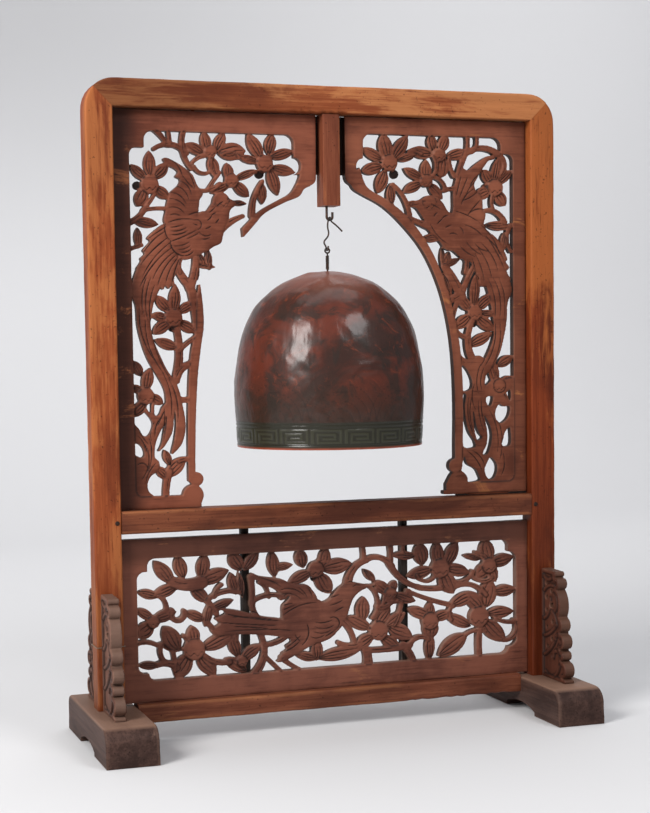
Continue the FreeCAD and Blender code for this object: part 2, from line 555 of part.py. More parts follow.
def top_rail():
    """Top rail with mitred ends, bored for the block's screw."""
    arc_start, arc_middle, mitre_point = corner_profile()
    arc_end = V(-half_width + corner_radius, 0, frame_height)
    shift = frame_height - half_width
    arc_upper = V(shift - arc_middle.z, 0, shift - arc_middle.x)
    mitre_inner = V(-inner_half, 0, rail_bottom)

    def flip(point):
        return V(-point.x, 0, point.z)

    edges = [arc(mitre_point, arc_upper, arc_end), line(arc_end, flip(arc_end)),
             arc(flip(arc_end), flip(arc_upper), flip(mitre_point)),
             line(flip(mitre_point), flip(mitre_inner)), line(flip(mitre_inner), mitre_inner),
             line(mitre_inner, mitre_point)]
    face = Part.Face(Part.Wire(edges))
    face.translate(V(0, post_front, 0))
    solid = ease(face.extrude(V(0, post_depth, 0)), V(1, 0, 0), post_ease)
    bores = [mitre_dowel(-1), mitre_dowel(1), block_screw(), *top_dowels()]
    return solid.cut(bores).removeSplitter()


def rail_tenon(side):
    """The end of the mid rail that enters a post."""
    length = inner_half + tenon_length
    low_x, high_x = (-length, -inner_half) if side < 0 else (inner_half, length)
    return beam((low_x, post_front + tenon_margin, mid_rail_bottom + tenon_margin),
                (high_x, post_back - tenon_margin, mid_rail_top - tenon_margin))


def mid_rail():
    """Rail under the bell, tenoned into the posts."""
    solid = beam((-inner_half, post_front, mid_rail_bottom), (inner_half, post_back, mid_rail_top))
    solid = ease(solid, V(1, 0, 0), post_ease)
    solid = solid.fuse([rail_tenon(-1), rail_tenon(1)])
    return solid.cut(rail_nails(-1) + rail_nails(1)).removeSplitter()


def foot_tenon(side):
    """The end of the bottom rail that enters a foot."""
    start = foot_x - foot_width / 2
    low_x, high_x = (-start - tenon_length, -start) if side < 0 else (start, start + tenon_length)
    return beam((low_x, post_y - 6.0, bottom_rail_bottom + 5.0), (high_x, post_y + 6.0, foot_height - 5.0))


def bottom_rail():
    """Low rail between the feet, tenoned into them."""
    end = foot_x - foot_width / 2
    low_y = post_y - bottom_rail_depth / 2
    solid = beam((-end, low_y, bottom_rail_bottom), (end, low_y + bottom_rail_depth, bottom_rail_top))
    solid = ease(solid, V(1, 0, 0), post_ease)
    return solid.fuse([foot_tenon(-1), foot_tenon(1)]).removeSplitter()


def foot_outline():
    """A foot from the side: rounded at both ends above, arched below."""
    front = foot_y - foot_length / 2
    back = foot_y + foot_length / 2
    low = arch_centre - arch_half
    high = arch_centre + arch_half
    front_bend = foot_front_radius * (1 - math.sqrt(0.5))
    back_bend = foot_back_radius * (1 - math.sqrt(0.5))

    def at(y, z):
        return V(0, y, z)

    edges = [line(at(front, 0), at(front, foot_height - foot_front_radius)),
             arc(at(front, foot_height - foot_front_radius),
                 at(front + front_bend, foot_height - front_bend),
                 at(front + foot_front_radius, foot_height)),
             line(at(front + foot_front_radius, foot_height), at(back - foot_back_radius, foot_height)),
             arc(at(back - foot_back_radius, foot_height), at(back - back_bend, foot_height - back_bend),
                 at(back, foot_height - foot_back_radius)),
             line(at(back, foot_height - foot_back_radius), at(back, 0)), line(at(back, 0), at(high, 0)),
             line(at(high, 0), at(high, arch_side)),
             arc(at(high, arch_side), at(arch_centre, arch_height), at(low, arch_side)),
             line(at(low, arch_side), at(low, 0)), line(at(low, 0), at(front, 0))]
    return Part.Face(Part.Wire(edges))


def foot(side):
    """Block foot with rounded ends and a shallow arch beneath."""
    block = foot_outline().extrude(V(foot_width, 0, 0))
    rims = [e for e in block.Edges if e.BoundBox.XLength < 0.01 and e.BoundBox.ZMin > arch_height + 1]
    block = block.makeFillet(foot_ease, rims)
    block.translate(V(side * foot_x - foot_width / 2, 0, 0))
    mortise = beam((-half_width + tenon_margin, post_front + tenon_margin, foot_height - post_tenon_depth),
                   (-inner_half - tenon_margin, post_back - tenon_margin, foot_height + 1.0))
    gap = beam((-half_width + mortise_gap_inset, post_front - mortise_front_gap,
                foot_height - mortise_gap_depth),
               (-inner_half - mortise_gap_inset, post_front, foot_height + 1.0))
    if side > 0:
        mortise = mirrored(mortise)
        gap = mirrored(gap)
    return block.cut([mortise, foot_tenon(side), gap] + spandrel_pins(side)).removeSplitter()


# ---------------------------------------------------------------- standing spandrels

def spandrel_x(side):
    """Where the middle of a post's two spandrels is; they don't stand quite alike."""
    return left_spandrel_x if side < 0 else right_spandrel_x


def spandrel(side, end):
    """Scrolled bracket in front of (end -1) or behind (end 1) a post, pierced with small holes."""
    def at(forward, z):
        face_y = post_front if end < 0 else post_back
        return V(0, face_y + end * forward, z)

    corners = [at(0.0, spandrel_top), at(0.0, foot_height), at(spandrel_base, foot_height),
               at(spandrel_base, foot_height + spandrel_plinth)]
    edges = [line(corners[index], corners[index + 1]) for index in range(3)]
    last = corners[3]
    for lobe in spandrel_lobes:
        points = [at(*point) for point in lobe]
        edges += [line(last, points[0]), arc(*points)]
        last = points[2]
    edges.append(line(last, corners[0]))
    solid = Part.Face(Part.Wire(edges)).extrude(V(spandrel_thickness, 0, 0))
    for forward, z, radius in spandrel_holes:
        solid = solid.cut(rod(tuple(at(forward, z)), (1, 0, 0), radius, spandrel_thickness))
    solid.translate(V(spandrel_x(side) - spandrel_thickness / 2, 0, 0))
    cutters = spandrel_pins(side)
    if side < 0:
        cutters.append(thread_groove())
    return solid.cut(cutters).removeSplitter()


def spandrel_pins(side):
    """Wooden pins that stand in the foot under the two spandrels of one post."""
    reach = pin_reach
    spots = (post_front - pin_forward, post_back + pin_forward)
    return [rod((spandrel_x(side), y, foot_height - reach), (0, 0, 1), pin_radius, 2 * reach)
            for y in spots]


# ---------------------------------------------------------------- hidden and visible fastenings

def mitre_dowel(side):
    """Dowel across the mitre of one top corner."""
    middle = V(side * (half_width - corner_radius * 0.62), post_y, frame_height - corner_radius * 0.62)
    along = V(side, 0, 1).normalize()
    across = V(-side, 0, 1).normalize()
    start = middle - across * mitre_dowel_reach - along * 3.0
    return rod(tuple(start), tuple(across), pin_radius, 2 * mitre_dowel_reach)


def board_dowels(side):
    """Dowels between one post and the boards beside it."""
    y = board_front + board_thickness / 2
    start = side * (inner_half + dowel_reach)
    return [rod((start, y, z), (-side, 0, 0), dowel_radius, 2 * dowel_reach) for z in dowel_heights]


def top_dowels():
    """Dowels between the top rail and the two upper boards."""
    y = board_front + board_thickness / 2
    return [rod((x, y, rail_bottom - dowel_reach), (0, 0, 1), dowel_radius, 2 * dowel_reach)
            for x in top_dowel_spots]


def rail_nails(side):
    """Nail through the front of one post into the mid rail's tenon."""
    x = side * (inner_half + nail_inset)
    z = (mid_rail_bottom + mid_rail_top) / 2
    head = rod((x, post_front, z), (0, 1, 0), nail_head_radius, nail_head_thickness)
    shank = rod((x, post_front, z), (0, 1, 0), nail_radius, nail_length)
    return [head.fuse(shank).removeSplitter()]


def batten_nails():
    """Nails from behind, through each batten into the lower board."""
    nails = []
    for x in batten_centres:
        for z in batten_nail_heights:
            head = rod((x, board_back + batten_depth, z), (0, 1, 0), nail_head_radius, nail_head_thickness)
            shank_length = batten_depth + 6.0
            shank = rod((x, board_back + batten_depth, z), (0, -1, 0), nail_radius, shank_length)
            nails.append(head.fuse(shank).removeSplitter())
    return nails


def batten(x):
    """Square stick behind the lower board, up to the mid rail."""
    solid = beam((x - batten_width / 2, board_back, bottom_rail_top + 0.5),
                 (x + batten_width / 2, board_back + batten_depth, mid_rail_bottom))
    return solid.cut(batten_nails())


def block_screw():
    """Screw down through the top rail into the hanging block."""
    y = block_centre_y
    head = Part.makeCone(screw_radius, screw_head_radius, screw_head_height,
                         V(block_x, y, frame_height - screw_head_height))
    shank = rod((block_x, y, frame_height - screw_length), (0, 0, 1), screw_radius,
                screw_length - screw_head_height)
    tip = Part.makeCone(0.3, screw_radius, 5.0, V(block_x, y, frame_height - screw_length - 5.0))
    return head.fuse([shank, tip]).removeSplitter()


def hanging_block():
    """Square post that hangs from the middle of the top rail and carries the hook."""
    solid = beam((block_x - block_width / 2, block_front, block_bottom),
                 (block_x + block_width / 2, post_back, rail_bottom))
    solid = ease(solid, V(0, 0, 1), 1.0)
    return solid.cut([block_screw(), hook_hole()])


def shim():
    """Thin strip under the right upper board."""
    return beam((right_shim_start, board_front + 1.0, mid_rail_top), (inner_half - 1.0, board_back - 1.0,
                mid_rail_top + shim_height))


# ---------------------------------------------------------------- hook, wires and bell

def bent_wire(points, radius):
    """A round wire along straight runs joined by tangent arcs."""
    points = [V(*point) for point in points]
    starts = [points[0]]
    edges = []
    for index in range(1, len(points) - 1):
        corner = points[index]
        back = points[index - 1] - corner
        ahead = points[index + 1] - corner
        trim = 0.48 * min(back.Length, ahead.Length)
        turn = math.pi - back.getAngle(ahead)
        first = corner + back.normalize() * trim
        last = corner + ahead.normalize() * trim
        bend_radius = trim / math.tan(turn / 2)
        bisector = (back + ahead).normalize()
        middle = corner + bisector * (bend_radius / math.cos(turn / 2) - bend_radius)
        edges.append(line(starts[-1], first))
        edges.append(Part.Arc(first, middle, last).toShape())
        starts.append(last)
    edges.append(line(starts[-1], points[-1]))
    path = Part.Wire(edges)
    direction = (points[1] - points[0]).normalize()
    profile = Part.Wire([Part.makeCircle(radius, points[0], direction)])
    return path.makePipeShell([profile], True, True)


def hook_hole():
    """The hole in the block that the hook is screwed into."""
    return rod((hook_shank_x, post_y, block_bottom - 1.0), (0, 0, 1), hook_wire, hook_thread_length + 1.5)


def screw_hook():
    """J-shaped hook of round wire under the hanging block."""
    bend_low = hook_centre_z - hook_bend
    left = hook_centre_x - hook_bend
    right = hook_centre_x + hook_bend
    edges = [line(V(left, post_y, block_bottom + hook_thread_length), V(left, post_y, hook_centre_z)),
             arc(V(left, post_y, hook_centre_z), V(hook_centre_x, post_y, bend_low),
                 V(right, post_y, hook_centre_z)),
             line(V(right, post_y, hook_centre_z), V(right, post_y, hook_tip_z))]
    profile = Part.Wire([Part.makeCircle(hook_wire, V(left, post_y, block_bottom + hook_thread_length),
                                         V(0, 0, 1))])
    return Part.Wire(edges).makePipeShell([profile], True, True)


def hanger():
    """Bent wire over the hook; its lower end is a small hook for the stem's ring."""
    over = hook_wire + hanger_wire + wire_clearance
    top = saddle_z + over
    x = hook_centre_x
    low = hanger_low_reach
    points = [(15.5, post_y - over - 1.0, 550.5), (9.5, post_y - over - 0.5, 556.5),
              (x + 0.5, post_y - over, saddle_z - 1.5), (x, post_y - over, top), (x, post_y + over, top),
              (x - 2.0, post_y + over, 556.5), (x + 0.5, post_y + over, 547.0), (-4.6, post_y + over, 539.0),
              (bell_x, post_y + low, 533.8), (bell_x, post_y + low, eye_z), (bell_x, post_y - low, eye_z),
              (bell_x, post_y - low, 534.5)]
    return bent_wire(points, hanger_wire)


def stem():
    """Straight wire with a ring at the top, down through the crown of the bell."""
    ring_z = eye_z - (eye_ring - 2 * hanger_wire - wire_clearance)
    ring = Part.makeTorus(eye_ring, hanger_wire, V(bell_x, post_y, ring_z), V(0, 1, 0))
    low = bell_top - washer_drop - washer_thickness - knot_radius
    shaft = rod((bell_x, post_y, low), (0, 0, 1), hanger_wire, ring_z - eye_ring - low)
    return ring.fuse(shaft).removeSplitter()


def binding():
    """Fine wire wound round the stem between the ring and the bell."""
    inner = hanger_wire + 0.05
    outer = inner + 2 * binding_wire
    turns = int((binding_top - binding_bottom) / (2 * binding_wire))
    edges = []
    for turn in range(turns):
        low = binding_bottom + turn * 2 * binding_wire
        edges.append(arc(V(outer - binding_wire * 0.5, 0, low), V(outer, 0, low + binding_wire),
                         V(outer - binding_wire * 0.5, 0, low + 2 * binding_wire)))
    high = binding_bottom + turns * 2 * binding_wire
    edges += [line(V(outer - binding_wire * 0.5, 0, high), V(inner, 0, high)),
              line(V(inner, 0, high), V(inner, 0, binding_bottom)),
              line(V(inner, 0, binding_bottom), V(outer - binding_wire * 0.5, 0, binding_bottom))]
    face = Part.Face(Part.Wire(edges))
    solid = face.revolve(V(0, 0, 0), V(0, 0, 1), 360)
    solid.translate(V(bell_x, post_y, 0))
    return solid


def bell():
    """Deep bronze bowl, mouth down, with a hole in its crown."""
    outer = Part.BSplineCurve()
    crown_direction = V(1, 0, 0)
    rim_direction = V(-0.05, 0, -1)
    outer.interpolate([V(r, 0, z) for r, z in bell_profile], InitialTangent=crown_direction,
                      FinalTangent=rim_direction)
    inner_points = []
    for r, z in bell_profile:
        tangent = outer.tangent(outer.parameter(V(r, 0, z)))[0]
        inner_points.append(V(r, 0, z) + V(tangent.z, 0, -tangent.x) * bell_wall)
    inner_points[0] = V(0, 0, bell_top - bell_wall)
    inner_points[-1] = V(rim_radius - bell_wall, 0, rim_z)
    inner = Part.BSplineCurve()
    inner.interpolate(inner_points, InitialTangent=crown_direction, FinalTangent=rim_direction)
    edges = [outer.toShape(), line(V(rim_radius, 0, rim_z), inner_points[-1]), inner.toShape(),
             line(inner_points[0], V(0, 0, bell_top))]
    wire = Part.Wire(Part.__sortEdges__(edges))
    solid = Part.Face(wire).revolve(V(0, 0, 0), V(0, 0, 1), 360)
    solid.translate(V(bell_x, post_y, 0))
    return solid.cut(rod((bell_x, post_y, bell_top - 10.0), (0, 0, 1), crown_hole, 20.0))


def crown_washer():
    """Washer under the crown that the bell rests on."""
    z = bell_top - washer_drop - washer_thickness
    disc = rod((bell_x, post_y, z), (0, 0, 1), washer_radius, washer_thickness)
    return disc.cut(rod((bell_x, post_y, z - 1.0), (0, 0, 1), hanger_wire + 0.1, washer_thickness + 2.0))


def stem_knot():
    """Knot in the wire's end under the washer."""
    z = bell_top - washer_drop - washer_thickness - knot_radius
    ball = Part.makeSphere(knot_radius, V(bell_x, post_y, z - 0.1))
    return ball.cut(rod((bell_x, post_y, z), (0, 0, 1), hanger_wire, 2 * knot_radius))


def tie_thread():
    """Thread tied round the left post, through a groove in both of its spandrels."""
    reach = thread_radius + 0.05
    left = -half_width - reach
    right = -inner_half + reach
    front = post_front - reach
    back = post_back + reach
    corners = [V(left, front, thread_height), V(right, front, thread_height), V(right, back, thread_height),
               V(left, back, thread_height)]
    path = Part.makePolygon(corners + corners[:1])
    outer = Part.Face(path.makeOffset2D(thread_radius))
    inner = Part.Face(path.makeOffset2D(-thread_radius))
    return outer.cut(inner).extrude(V(0, 0, 2 * thread_radius))


def thread_groove():
    """Room for the thread between the left post and its spandrels."""
    low = thread_height - thread_radius
    return beam((-half_width, post_front - thread_nick, low),
                (-inner_half, post_back + thread_nick, low + 4 * thread_radius))


def nick():
    """Room for the thread between the left post and the lower board."""
    return beam((-half_width, board_front, thread_height - thread_radius),
                (-inner_half + thread_nick, board_back, thread_height + 3 * thread_radius))


# ---------------------------------------------------------------- every sub-part

def cut_boards():
    """The three carved boards with their dowel holes."""
    lower_holes = board_dowels(-1) + board_dowels(1) + batten_nails() + [nick()]
    yield "left_carved_panel", upper_left_board().cut(board_dowels(-1) + top_dowels())
    yield "right_carved_panel", upper_right_board().cut(board_dowels(1) + top_dowels())
    yield "lower_carved_panel", lower_board().cut(lower_holes)


def main():
    """Build and save every sub-part."""
    os.makedirs("parts", exist_ok=True)
    for name, shape in cut_boards():
        save(name, shape)
    for side, word in ((-1, "left"), (1, "right")):
        save(word + "_post", post(side))
        save(word + "_foot", foot(side))
        save(word + "_batten", batten(batten_centres[0 if side < 0 else 1]))
        for end, place in ((-1, "front"), (1, "back")):
            save(place + "_" + word + "_spandrel", spandrel(side, end))
    save("top_rail", top_rail())
    save("mid_rail", mid_rail())
    save("bottom_rail", bottom_rail())
    save("hanging_block", hanging_block())
    save("panel_shim", shim())
    save("block_screw", block_screw())
    save("mitre_dowels", Part.Compound([mitre_dowel(-1), mitre_dowel(1)]))
    save("panel_dowels", Part.Compound(board_dowels(-1) + board_dowels(1) + top_dowels()))
    save("spandrel_pins", Part.Compound(spandrel_pins(-1) + spandrel_pins(1)))
    save("rail_nails", Part.Compound(rail_nails(-1) + rail_nails(1)))
    save("batten_nails", Part.Compound(batten_nails()))
    save("tie_thread", tie_thread())
    save("screw_hook", screw_hook())
    save("hanger_wire", hanger())
    save("stem_wire", stem())
    save("stem_binding", binding())
    save("bell", bell())
    save("crown_washer", crown_washer())
    save("stem_knot", stem_knot())


main()
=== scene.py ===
"""A hanging bronze bell in a carved wooden stand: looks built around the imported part."""
import math
import bmesh
import bpy
import numpy as np
from mathutils import Matrix, Vector
from mathutils.geometry import delaunay_2d_cdt


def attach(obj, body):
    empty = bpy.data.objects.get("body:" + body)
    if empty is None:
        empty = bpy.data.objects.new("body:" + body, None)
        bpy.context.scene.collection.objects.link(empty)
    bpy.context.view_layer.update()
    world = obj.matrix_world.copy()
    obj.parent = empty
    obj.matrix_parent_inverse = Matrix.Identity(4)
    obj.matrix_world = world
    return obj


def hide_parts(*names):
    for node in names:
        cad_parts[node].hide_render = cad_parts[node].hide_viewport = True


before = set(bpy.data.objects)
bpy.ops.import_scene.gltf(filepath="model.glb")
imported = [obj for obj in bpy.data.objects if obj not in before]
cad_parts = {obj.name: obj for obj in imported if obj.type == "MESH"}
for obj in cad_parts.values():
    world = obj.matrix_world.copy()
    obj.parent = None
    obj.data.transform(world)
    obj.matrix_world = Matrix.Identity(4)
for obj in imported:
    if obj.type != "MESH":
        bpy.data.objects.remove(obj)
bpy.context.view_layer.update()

MM = 0.001
STAND = "stand"

# ---------------------------------------------------------------- carving tables, in millimetres
# A leaf runs from its base to its tip: base x, base z, tip x, tip z, width.
left_leaves = [
    (-198, 605, -199, 634, 13), (-202, 602, -220, 619, 11), (-194, 604, -179, 621, 13),
    (-203, 594, -213, 575, 15), (-194, 596, -178, 584, 12), (-218, 560, -190, 556, 11),
    (-213, 553, -212, 531, 9), (-134, 634, -139, 656, 12), (-126, 634, -116, 656, 12),
    (-124, 634, -92, 636, 19), (-137, 632, -160, 642, 12), (-132, 630, -125, 608, 13),
    (-73, 627, -90, 655, 15), (-66, 632, -62, 656, 13), (-66, 630, -37, 637, 12),
    (-66, 619, -36, 614, 12), (-66, 620, -56, 589, 14), (-75, 624, -101, 630, 9),
    (-110, 603, -114, 623, 12), (-106, 605, -79, 616, 9), (-107, 603, -89, 587, 12),
    (-108, 602, -132, 590, 10), (-75, 604, -74, 579, 11), (-175, 461, -173, 493, 13),
    (-179, 463, -195, 481, 12), (-182, 456, -199, 461, 10), (-170, 462, -153, 474, 11),
    (-171, 454, -151, 441, 12), (-179, 454, -199, 440, 13), (-170, 424, -197, 434, 12),
    (-209, 378, -202, 404, 13), (-211, 395, -222, 412, 11), (-210, 378, -224, 385, 9),
    (-204, 375, -189, 365, 11), (-207, 369, -223, 352, 13), (-212, 286, -198, 306, 11),
    (-182, 298, -189, 316, 9), (-188, 286, -165, 307, 15), (-185, 284, -198, 298, 11),
    (-110, 581, -92, 579.2, 6), (-146, 526, -140, 512, 7), (-137, 532, -134, 508, 7),
    (-152, 515, -128, 511, 7), (-148, 497, -150, 520, 6)]
left_wings = [
    [(-184, 626), (-178, 626), (-168, 621), (-160, 616), (-152, 609), (-147, 598), (-141, 590), (-145, 582),
     (-146, 574), (-150, 562), (-182, 557), (-182, 572), (-180, 582), (-177, 590), (-168, 598), (-166, 604),
     (-171, 607), (-168, 612), (-173, 616), (-178, 618), (-182, 622)],
    [(-182, 557), (-192, 552), (-203, 542), (-200, 538), (-208, 529), (-206, 525), (-211, 520), (-209, 516),
     (-215, 510), (-212, 506), (-217, 499), (-214, 495), (-219, 487), (-217, 478), (-206, 478), (-198, 486),
     (-191, 491), (-187, 487), (-184, 491), (-180, 488), (-176, 496), (-172, 506), (-168, 518), (-176, 530),
     (-180, 545)]]
# A branch bends through its middle point: start, middle, end, start width, end width.
left_branches = [
    (-193, 636, -178, 641, -158, 632, 5, 6), (-160, 658, -163, 640, -153, 616, 6, 5),
    (-193, 657, -184, 648, -178, 640, 6, 4), (-178, 657, -177, 650, -176, 640, 5, 4),
    (-206, 571, -194, 573, -180, 573, 4, 4), (-207, 571, -199, 580, -194, 588, 4, 4),
    (-226, 556, -214, 562, -204, 573, 7, 5), (-224, 529, -216, 532, -209, 534, 5, 4),
    (-145, 593, -132, 594, -122, 600, 4, 5), (-135, 594, -128, 604, -122, 612, 4, 4),
    (-150, 618, -144, 612, -134, 612, 4, 4), (-152, 622, -144, 628, -138, 630, 4, 5),
    (-86, 567, -82, 590, -74, 604, 7, 4), (-120, 553, -110, 560, -97, 566, 9, 5),
    (-100, 629, -110, 634, -118, 632, 4, 4),
    (-169, 507, -163, 498, -157, 491, 8, 9), (-150, 520, -152, 503, -157, 489, 7, 9),
    (-166, 522, -169, 512, -168, 505, 5, 5), (-157, 493, -152, 470, -149, 445, 9, 10),
    (-176, 493, -177, 499, -174, 508, 4, 4), (-173, 449, -170, 425, -173, 396, 7, 9),
    (-171, 421, -162, 429, -150, 437, 5, 5), (-174, 390, -168, 402, -155, 408, 8, 7),
    (-176, 370, -168, 369, -159, 369, 7, 6),
    (-184, 292, -187, 278, -188, 262, 8, 7), (-173, 303, -166, 305, -160, 304, 5, 5),
    (-131, 626, -131, 618, -128, 610, 4, 4),
    (-209, 460, -203, 459, -196, 459, 5, 4)]
# A disc is a flower's heart, a knob or a scroll: centre x, centre z, radius.
left_discs = [
    (-199, 598, 9.5), (-132, 634, 6.5), (-71, 623, 9), (-109, 604, 7.5), (-176, 457, 9.5),
    (-208, 374, 9), (-212, 597, 4.5), (-76, 612, 5), (-176, 447, 5), (-121, 582, 9)]
# Smooth closed shapes: the bird's body with neck and head, and its long tail.
left_body = [(-106, 581.5), (-111, 584.5), (-118, 587.5), (-126, 585.5), (-132, 578), (-137, 571.5),
             (-143, 570.5), (-150, 566), (-166, 562), (-182, 557), (-184, 545), (-176, 530), (-162, 519),
             (-148, 524), (-138, 528), (-130, 533), (-122, 537), (-119.5, 545), (-117, 553), (-113, 562),
             (-111, 572), (-105, 577.5)]
left_tail = [(-222, 488), (-208, 520), (-180, 536), (-170, 512), (-190, 488), (-199, 466), (-200, 440),
             (-186, 405), (-176, 390), (-171, 378), (-168, 364), (-165.5, 350), (-165, 338), (-168, 325),
             (-173, 317), (-181, 311), (-178, 325), (-176, 337), (-175.5, 350), (-177, 357), (-178, 345),
             (-180, 334), (-185, 325), (-190, 318), (-196, 314), (-192, 322), (-189, 337), (-186.5, 352),
             (-186, 366), (-187, 378), (-191, 388), (-206, 415),
             (-215, 445), (-217, 470)]
# Straight-sided parts of the border: low x, low z, high x, high z.
left_border = [
    (-239.6, 254.0, -205.0, 676.0), (-239.6, 630.0, -13.0, 676.0), (-239.6, 252.7, -149.0, 274.0),
    (-38.0, 612.0, -13.0, 676.0)]
# The opening inside the border is rounded boxes run together: low x, low z, high x, high z, corner radius.
left_opening = [(-221, 266, -60, 637, 8), (-205, 560, -38, 654.5, 10), (-70, 612, -30, 630, 8.5)]
left_border_discs = [(-22, 609, 9), (-154, 283, 7.5), (-158, 265.5, 11.5)]
# The trunk low on the board: its outline, then the holes through it.
left_trunk = [
    [(-226, 262), (-226, 308), (-214, 308), (-211, 311), (-212, 317), (-216, 322), (-225, 327),
    (-225, 346), (-217, 340), (-212, 332), (-207, 331), (-203, 336), (-201, 343), (-203, 349),
    (-209, 357), (-208, 361), (-203, 355.5), (-202, 366), (-199, 366), (-199, 355), (-196, 352.5),
    (-193, 355), (-190, 362), (-184, 366), (-183, 352), (-188, 344), (-192, 337), (-196, 329),
    (-199, 320), (-199.5, 308), (-195.5, 304), (-194.5, 298), (-198, 292), (-204, 288), (-208, 280),
    (-207, 272), (-202, 267), (-196, 262)]]
# The arch over the bell, broken off at its lower end, and the upright strip below the break.
left_arch_outer = [(-20, 599.5), (-27, 596), (-33, 588), (-50, 581), (-72, 569.5), (-84, 557), (-97, 543)]
left_arch_inner = [(-30, 622), (-32, 609), (-41, 593), (-53, 585.5), (-72, 575.5), (-84, 566.5), (-98, 553)]
left_strip_outer = [(-146, 493), (-143.5, 470), (-143, 448), (-147, 422), (-151, 390), (-154, 340),
                    (-155.5, 282)]
left_strip_inner = [(-148, 492), (-150.5, 470), (-151.5, 445), (-157, 422), (-160.5, 390), (-162.5, 340),
                    (-163, 280)]

# right upper board
right_leaves = [
    (72, 629, 67, 660, 17), (78, 630, 96, 658, 15), (68, 629, 41, 643, 12), (67, 624, 41, 617, 14),
    (70, 620, 60, 593, 15), (76, 605, 75, 578, 11), (84, 630, 106, 637, 9),
    (127, 637, 99, 642, 14), (127, 640, 124, 661, 12), (136, 640, 143, 660, 14),
    (143, 636, 170, 641, 13), (138, 636, 137, 612, 17), (118, 608, 118, 632, 13),
    (115, 609, 91, 622, 11), (114, 607, 90, 595, 12), (121, 606, 138, 588, 12),
    (200, 604, 208, 637, 12), (200, 606, 187, 622, 13), (203, 606, 224, 622, 12),
    (196, 600, 179, 591, 14), (203, 598, 216, 582, 15), (190, 560, 222, 558, 11),
    (214, 552, 213, 531, 9), (113, 544, 136, 545, 10),
    (175, 465, 178, 505, 13), (178, 463, 199, 482, 12), (182, 460, 202, 459, 9),
    (172, 463, 156, 479, 13), (173, 458, 151, 443, 14), (178, 457, 200, 440, 14),
    (168, 422, 199, 438, 13), (203, 378, 197, 407, 13), (204, 399, 224, 411, 12),
    (208, 380, 224, 387, 9), (187, 375, 214, 374, 12), (207, 371, 217, 357, 9),
    (108, 584, 93, 581, 7), (146, 530, 141, 512, 8),
    (137, 535, 140, 505, 8), (160, 522, 135, 512, 8), (137, 506, 148, 479, 9)]
right_wings = [
    [(150.5, 597), (153, 607), (156, 616), (161, 623), (169, 621), (178, 628), (188, 634), (195, 637),
    (192, 630), (186, 622), (183, 617), (180, 612), (176.5, 605), (179, 597), (184, 594), (186.5, 585),
    (187, 577), (190, 572), (188.5, 564), (184, 556), (165, 560), (150, 566), (150.5, 580)], [(184, 560),
    (194, 552), (203, 546), (210, 537), (214, 529), (217, 521), (215, 518), (219.5, 512), (216, 507),
    (221, 499), (219, 495), (222, 487), (218, 478), (206, 478), (199, 488), (194, 493), (189, 490),
    (183, 492), (181, 505), (176, 514), (170, 521), (178, 535)]]
right_branches = [
    (78, 603, 90, 590, 98, 563, 5, 6), (95, 567, 108, 562, 124, 556, 5, 8),
    (98, 640, 106, 641, 112, 638, 5, 5), (168, 661, 169, 650, 167, 640, 5, 5),
    (179, 661, 180, 650, 174, 641, 4, 4), (166, 640, 160, 625, 156, 614, 7, 6),
    (168, 640, 190, 646, 206, 640, 6, 7), (206, 640, 214, 630, 208, 615, 7, 5),
    (176, 612, 184, 628, 200, 636, 4, 5), (127, 636, 130, 622, 124, 612, 5, 4),
    (124, 612, 134, 610, 141, 598, 4, 5), (140, 598, 150, 600, 158, 600, 5, 5),
    (146, 634, 148, 622, 152, 614, 4, 5), (190, 576, 202, 575, 214, 563, 5, 7),
    (201, 597, 198, 585, 201, 576, 4, 4), (222, 560, 218, 552, 222, 530, 5, 4),
    (140, 512, 152, 495, 160, 478, 9, 12), (176, 514, 168, 500, 162, 486, 6, 7),
    (166, 528, 167, 516, 165, 506, 5, 5), (160, 482, 152, 478, 144, 474, 9, 8),
    (158, 480, 152, 466, 148, 452, 6, 6), (174, 452, 168, 436, 172, 410, 6, 9),
    (168, 432, 158, 436, 150, 445, 5, 5), (172, 402, 163, 405, 156, 412, 9, 6)]
right_discs = [
    (74, 627, 9), (134, 637, 7.5), (118, 608, 7), (202, 602, 9.5), (176, 461, 8.5), (206, 377, 8),
    (81, 615, 5), (192, 602, 4.5), (176, 449, 5), (121, 583, 9)]
right_body = [
    (100, 581), (104, 585), (111, 587.5), (121, 590.5), (130, 590), (138, 583.5), (143, 576), (150, 572),
    (184, 562), (190, 556), (196, 548), (188, 530), (178, 520), (166, 519), (158, 524), (150, 530),
    (141, 532), (134, 540), (124, 549), (119, 556), (116, 563), (110, 572), (106, 577)]
right_tail = [(222, 490), (208, 522), (184, 536), (174, 512), (190, 492), (197, 466), (200, 436),
              (190, 410), (176, 388), (190, 390), (206, 412), (215, 445), (217, 470)]
right_border = [
    (209.0, 256.0, 239.6, 676.0), (21.0, 634.0, 239.6, 676.0), (139.0, 254.7, 239.6, 275.0),
    (21.0, 612.0, 42.0, 676.0), (135.5, 254.7, 160.0, 259.0)]
right_opening = [(60, 267, 224, 640, 8), (42, 560, 209, 658, 10), (34, 612, 80, 631, 8.5)]
right_border_discs = [(30, 611, 9), (150.5, 287, 8), (154, 269.5, 11.5), (148, 266, 8)]
